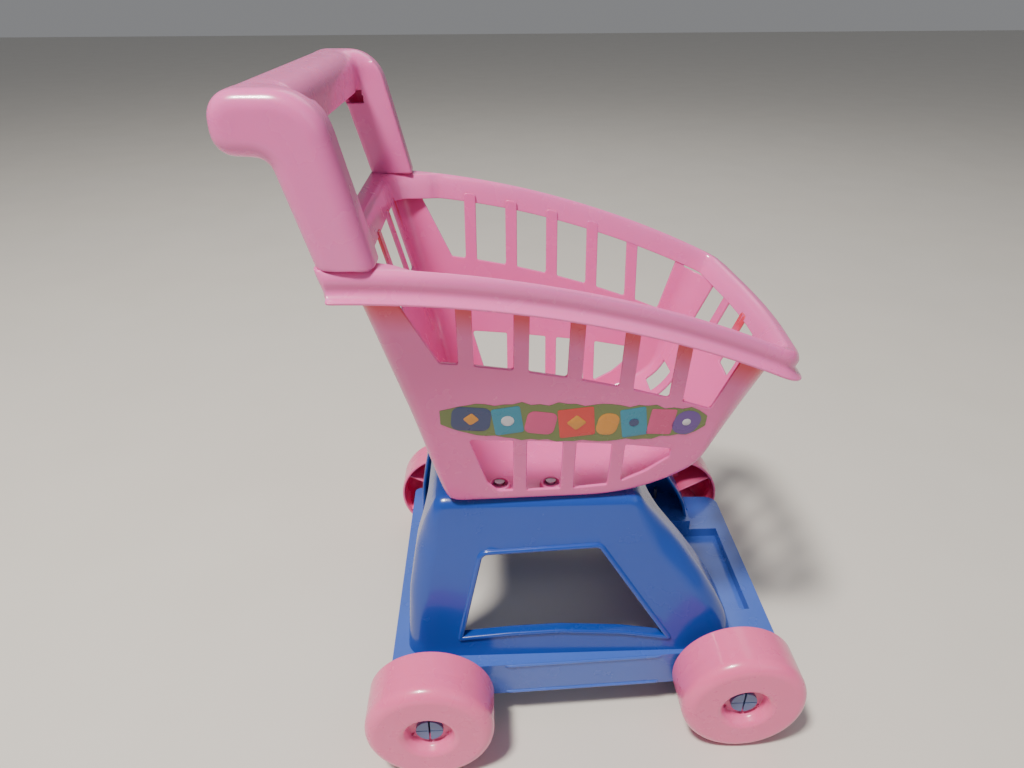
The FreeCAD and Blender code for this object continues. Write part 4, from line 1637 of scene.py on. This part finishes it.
@dataclass
class BaseTrim:
    """Rounded beads along the base's side rails, on the ledge and on the skirt's edge.

    Attributes:
        ends: X where the beads start and stop, between the wheels.
        levels: Heights of the beads.
        round: How far a bead stands out from the rail.
        stations: How many sections a bead is drawn through.
        rear: X and half width of the base at its rear end.
        front: X and half width of the base at its front end.
    """

    ends: Flat = (-66.0, 66.0)
    levels: Flat = (64.2, 32.6)
    round: float = 1.5
    stations: int = 45
    rear: Flat = (-158.0, 119.0)
    front: Flat = (171.0, 105.0)

    def rail_half(self, x: float) -> float:
        """Half the width of the base at an X."""
        (rear_x, rear_half), (front_x, front_half) = self.rear, self.front
        return rear_half - (rear_half - front_half) * (x - rear_x) / (front_x - rear_x)

    def build(self) -> None:
        """Make the beads as one piece."""
        skin = Skin()
        for height in self.levels:
            for sign in (-1, 1):
                self.add_bead(skin, height, sign)
        skin.join(self.bead_facing, 0.01)
        skin.to_piece("base_trim", Finish.FRAME, "frame")

    def bead_facing(self, at: Vector, normal: Vector) -> float:
        """How far a face looks away from the middle plane, or 0 for one inside the rail."""
        return at.y * normal.y if abs(at.y) > self.rail_half(at.x) + 0.5 else 0.0

    def add_bead(self, skin: Skin, height: float, sign: int) -> None:
        """Add one bead that sinks into the rail at both of its ends.

        Args:
            skin: Where the bead goes.
            height: Height of its middle.
            sign: Which side of the base it is on.
        """
        rows = []
        start, end = self.ends
        for i in range(self.stations):
            x = start + (end - start) * i / (self.stations - 1)
            reach = self.round * ease(min(x - start, end - x), 0.0, 4.0)
            half = self.rail_half(x) - 0.3
            row = []
            for k in range(9):
                angle = math.pi * (k / 8 - 0.5)
                y, z = half + reach * math.cos(angle), height + self.round * math.sin(angle)
                row.append(Vector((x, sign * y, z)))
            rows.append([*row, Vector((x, sign * (half - 0.8), height)), row[0]])
        skin.rows(rows)


# ------------------------------------------------------------------ sticker


@dataclass(frozen=True)
class Patch:
    """One printed shape on the sticker: a tilted block with rounded corners.

    Attributes:
        ink: Its colour.
        x: Middle along the wall.
        up: Height of its middle over the sticker's middle line.
        width: Size along the wall.
        height: Size up the wall.
        tilt: How far it leans, in degrees.
        corner: Radius of its corners.
        layer: How many layers of print lie under it.
    """

    ink: Print
    x: float
    up: float
    width: float
    height: float
    tilt: float
    corner: float
    layer: int = 1


@dataclass
class Sticker:
    """Printed sticker along a side wall: an olive band with plain coloured patches on it.

    Attributes:
        side: Which side wall it is on.
        film: Thickness of the film and of each layer of print.
        ends: X where the band starts and stops.
        stations: How many points its upper and lower edges are drawn through.
        patches: The shapes printed on it.
    """

    side: str
    film: float = 0.18
    ends: Flat = (-107.0, 79.0)
    stations: int = 31
    patches: tuple[Patch, ...] = (
        Patch(Print.NAVY, -86.0, 0.5, 27.0, 21.0, -6.0, 6.0),
        Patch(Print.AMBER, -86.0, 0.5, 8.0, 8.0, 39.0, 1.4, 2),
        Patch(Print.TEAL, -61.0, 0.5, 20.0, 24.0, 8.0, 2.0),
        Patch(Print.PALE, -61.0, 0.5, 9.0, 9.0, 0.0, 4.4, 2),
        Patch(Print.ROSE, -38.0, -0.5, 21.0, 20.0, -10.0, 5.0),
        Patch(Print.RED, -13.0, 0.5, 25.0, 26.0, 6.0, 1.6),
        Patch(Print.AMBER, -13.0, 0.5, 10.0, 10.0, 45.0, 1.4, 2),
        Patch(Print.AMBER, 9.0, -1.0, 15.0, 20.0, -9.0, 6.5),
        Patch(Print.TEAL, 27.5, 0.5, 18.0, 26.0, 9.0, 1.6),
        Patch(Print.NAVY, 27.5, 0.5, 7.0, 7.0, 20.0, 3.4, 2),
        Patch(Print.ROSE, 47.0, 0.5, 18.0, 23.0, -5.0, 1.6),
        Patch(Print.VIOLET, 65.0, -1.0, 19.0, 22.0, -20.0, 9.0),
        Patch(Print.PALE, 65.0, -0.5, 6.0, 6.0, 20.0, 2.9, 2),
    )

    def middle_line(self, x: float) -> float:
        """Height of the sticker's middle line at an X."""
        return 283.0 - 0.06 * x + 0.0004 * (x + 10.0) ** 2

    def build(self) -> None:
        """Make the band and its patches."""
        top, low = [], []
        start, end = self.ends
        for i in range(self.stations):
            share = i / (self.stations - 1)
            x = start + (end - start) * share
            wave = 1.1 * math.sin(x * 0.21) + 0.9 * math.sin(x * 0.47 + 1.0)
            half = 5.0 + 12.0 * math.sin(math.pi * share) ** 0.4
            top.append((x, self.middle_line(x) + half + wave))
            low.append((x, self.middle_line(x) - half - 0.7 * wave))
        outline = spread([*low, *top[::-1]], 4.0, True)
        self.plate(f"label_{self.side}_band", outline, 0, Print.OLIVE, [f"label_{self.side}"])
        for number, patch in enumerate(self.patches):
            angle = math.radians(patch.tilt)
            across, rise = patch.width / 2, patch.height / 2
            corners = []
            for a, b in ((-across, -rise), (across, -rise), (across, rise), (-across, rise)):
                x = patch.x + a * math.cos(angle) - b * math.sin(angle)
                up = patch.up + a * math.sin(angle) + b * math.cos(angle)
                corners.append((x, self.middle_line(patch.x) + up, patch.corner))
            outline = spread(rounded_path(corners, True, 4), 4.0, True)
            self.plate(f"label_{self.side}_patch_{number:02d}", outline, patch.layer, patch.ink, [])

    def plate(
        self, name: str, outline: Sequence[Flat], layer: int, ink: Print, replaces: Sequence[str]
    ) -> None:
        """Make one flat printed shape that follows the wall.

        Args:
            name: The piece's name.
            outline: Its outline as (x, z).
            layer: How many layers lie under it.
            ink: Its ink.
            replaces: The CAD node that it replaces, if any.
        """
        sign = 1 if self.side == "left" else -1
        flat, faces = filled(outline, [], 5.0)
        wall = Basket()
        under, over = 0.02, self.film * (layer + 1)
        count = len(flat)
        skin = Skin()
        points = [
            Vector((x, sign * (wall.half_width(x, z) + out), z))
            for out in (over, under) for x, z in flat
        ]
        sides = [(a, b, b + count, a + count) for a, b in self.rim_edges(faces)]
        bottom = [[i + count for i in face][::-1] for face in faces]
        skin.patch(points, [*faces, *bottom, *sides])
        skin.join(lambda at, normal: self.print_facing(wall, over, at, normal))
        skin.to_piece(name, ink, "label", replaces=replaces)

    @staticmethod
    def print_facing(wall: Basket, over: float, at: Vector, normal: Vector) -> float:
        """Find how far a face on the print's outside looks away from the wall.

        Args:
            wall: The basket that the print is on.
            over: How far the print's outside stands over the wall.
            at: Middle of the face.
            normal: The face's normal.

        Returns:
            That measure, or 0 for a face that isn't on the outside.
        """
        outermost = abs(at.y) > wall.half_width(at.x, at.z) + over - 0.01
        away = normal.y if at.y > 0 else -normal.y
        return away if outermost else 0.0

    @staticmethod
    def rim_edges(faces: Sequence[Sequence[int]]) -> list[tuple[int, int]]:
        """Edges that only one of the faces uses."""
        edges = {(a, b) for face in faces for a, b in zip(face, [*face[1:], face[0]])}
        return [(a, b) for a, b in edges if (b, a) not in edges]


# ------------------------------------------------------------------ studio


@dataclass
class Studio:
    """Pale floor, soft lamps and the camera.

    Attributes:
        eye: Where the camera stands, as a drawn point.
        turn: How far it is turned to the right, in degrees.
        tilt: How far it looks down, in degrees.
        roll: How far it leans to the right, in degrees.
        lens: Its focal length, in millimetres.
        sensor: Width of its sensor, in millimetres.
        sky: Colour of the light from all round.
        sky_strength: How strong that light is.
        target: Where the lamps look, in metres.
        floor_half: Half the side of the floor, in metres.
    """

    eye: Vector = field(default_factory=lambda: Vector((-69.8, -496.2, 549.9)))
    turn: float = 1.7
    tilt: float = 29.9
    roll: float = 0.3
    lens: float = 24.6
    sensor: float = 36.0
    sky: Colour = (0.86, 0.87, 0.9)
    sky_strength: float = 0.27
    target: Corner = (0.0, 0.0, 0.22)
    floor_half: float = 9.0

    def build(self) -> None:
        """Make the floor, the lamps, the sky and the camera."""
        self.build_floor()
        self.build_lamp("key_lamp", Vector((-0.75, -0.85, 2.5)), 0.34, 110.0, (1.0, 0.93, 0.84))
        self.build_lamp("fill_lamp", Vector((1.6, -1.6, 1.5)), 1.6, 6.0, (0.86, 0.92, 1.0))
        self.build_lamp("back_lamp", Vector((0.3, 1.7, 2.0)), 1.4, 8.0, (1.0, 0.97, 0.94))
        world = bpy.data.worlds.new("soft_sky")
        bpy.context.scene.world = world
        world.use_nodes = True
        light = world.node_tree.nodes["Background"].inputs
        light["Color"].default_value = (*self.sky, 1.0)
        light["Strength"].default_value = self.sky_strength
        self.build_camera()

    def build_floor(self) -> None:
        """Make the floor with a faint matt grain."""
        mesh = bmesh.new()
        bmesh.ops.create_grid(mesh, x_segments=8, y_segments=8, size=self.floor_half)
        data = bpy.data.meshes.new("floor")
        mesh.to_mesh(data)
        mesh.free()
        floor = bpy.data.objects.new("floor", data)
        bpy.context.scene.collection.objects.link(floor)
        plain = Plastic(
            "pale_floor", (0.66, 0.64, 0.60), (0.62, 0.60, 0.56),
            gloss=0.75, glow=0.0, scuffs=0.0, coat=0.0,
        )
        floor.data.materials.append(plain.build())

    def build_lamp(self, name: str, at: Vector, size: float, power: float, colour: Colour) -> None:
        """Make one square lamp that looks at the trolley.

        Args:
            name: The lamp's name.
            at: Where it stands, in metres.
            size: Its side, in metres.
            power: Its power in watts.
            colour: Its light's colour.
        """
        lamp = bpy.data.lights.new(name, "AREA")
        lamp.size = size
        lamp.energy = power
        lamp.color = colour
        holder = bpy.data.objects.new(name, lamp)
        holder.location = at
        holder.rotation_euler = (Vector(self.target) - at).to_track_quat("-Z", "Y").to_euler()
        bpy.context.scene.collection.objects.link(holder)

    def build_camera(self) -> None:
        """Make the camera and use it."""
        turn, tilt, roll = (math.radians(v) for v in (self.turn, self.tilt, self.roll))
        level = math.cos(tilt)
        ahead = Vector((math.sin(turn) * level, math.cos(turn) * level, -math.sin(tilt)))
        right = ahead.cross(Vector((0.0, 0.0, 1.0))).normalized()
        up = right.cross(ahead)
        tilted_right = right * math.cos(roll) - up * math.sin(roll)
        tilted_up = right * math.sin(roll) + up * math.cos(roll)
        camera = bpy.data.cameras.new("camera")
        camera.lens = self.lens
        camera.sensor_width = self.sensor
        camera.clip_start = 0.01
        holder = bpy.data.objects.new("camera", camera)
        turned = Matrix((tilted_right, tilted_up, -ahead)).transposed().to_4x4()
        holder.matrix_world = Matrix.Translation(in_row(self.eye)) @ turned
        bpy.context.scene.collection.objects.link(holder)
        bpy.context.scene.camera = holder


def main() -> None:
    """Build every part in order."""
    logging.basicConfig(level=logging.INFO, format="%(message)s")
    Basket().build()
    Stand().build()
    Handle().build()
    bevelled_copy("base_frame", 0.9, Finish.FRAME)
    BaseTrim().build()
    for end in ("rear", "front"):
        for side in ("right", "left"):
            Wheel(end, side).build()
            bevelled_copy(f"pin_{end}_{side}", 0.35, Finish.PIN)
    for side in ("right", "left"):
        Sticker(side).build()
    fasteners = {
        "stand_screws": Finish.SCREW,
        "basket_screws": Finish.SCREW,
        "handle_screws": Finish.SCREW,
        "handle_plugs": Finish.BASKET,
    }
    for name, finish in fasteners.items():
        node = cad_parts[name]
        node.data.materials.clear()
        node.data.materials.append(finish.material())
        log.info("dressed %s", name)
    Studio().build()


if __name__ == "__main__":
    main()
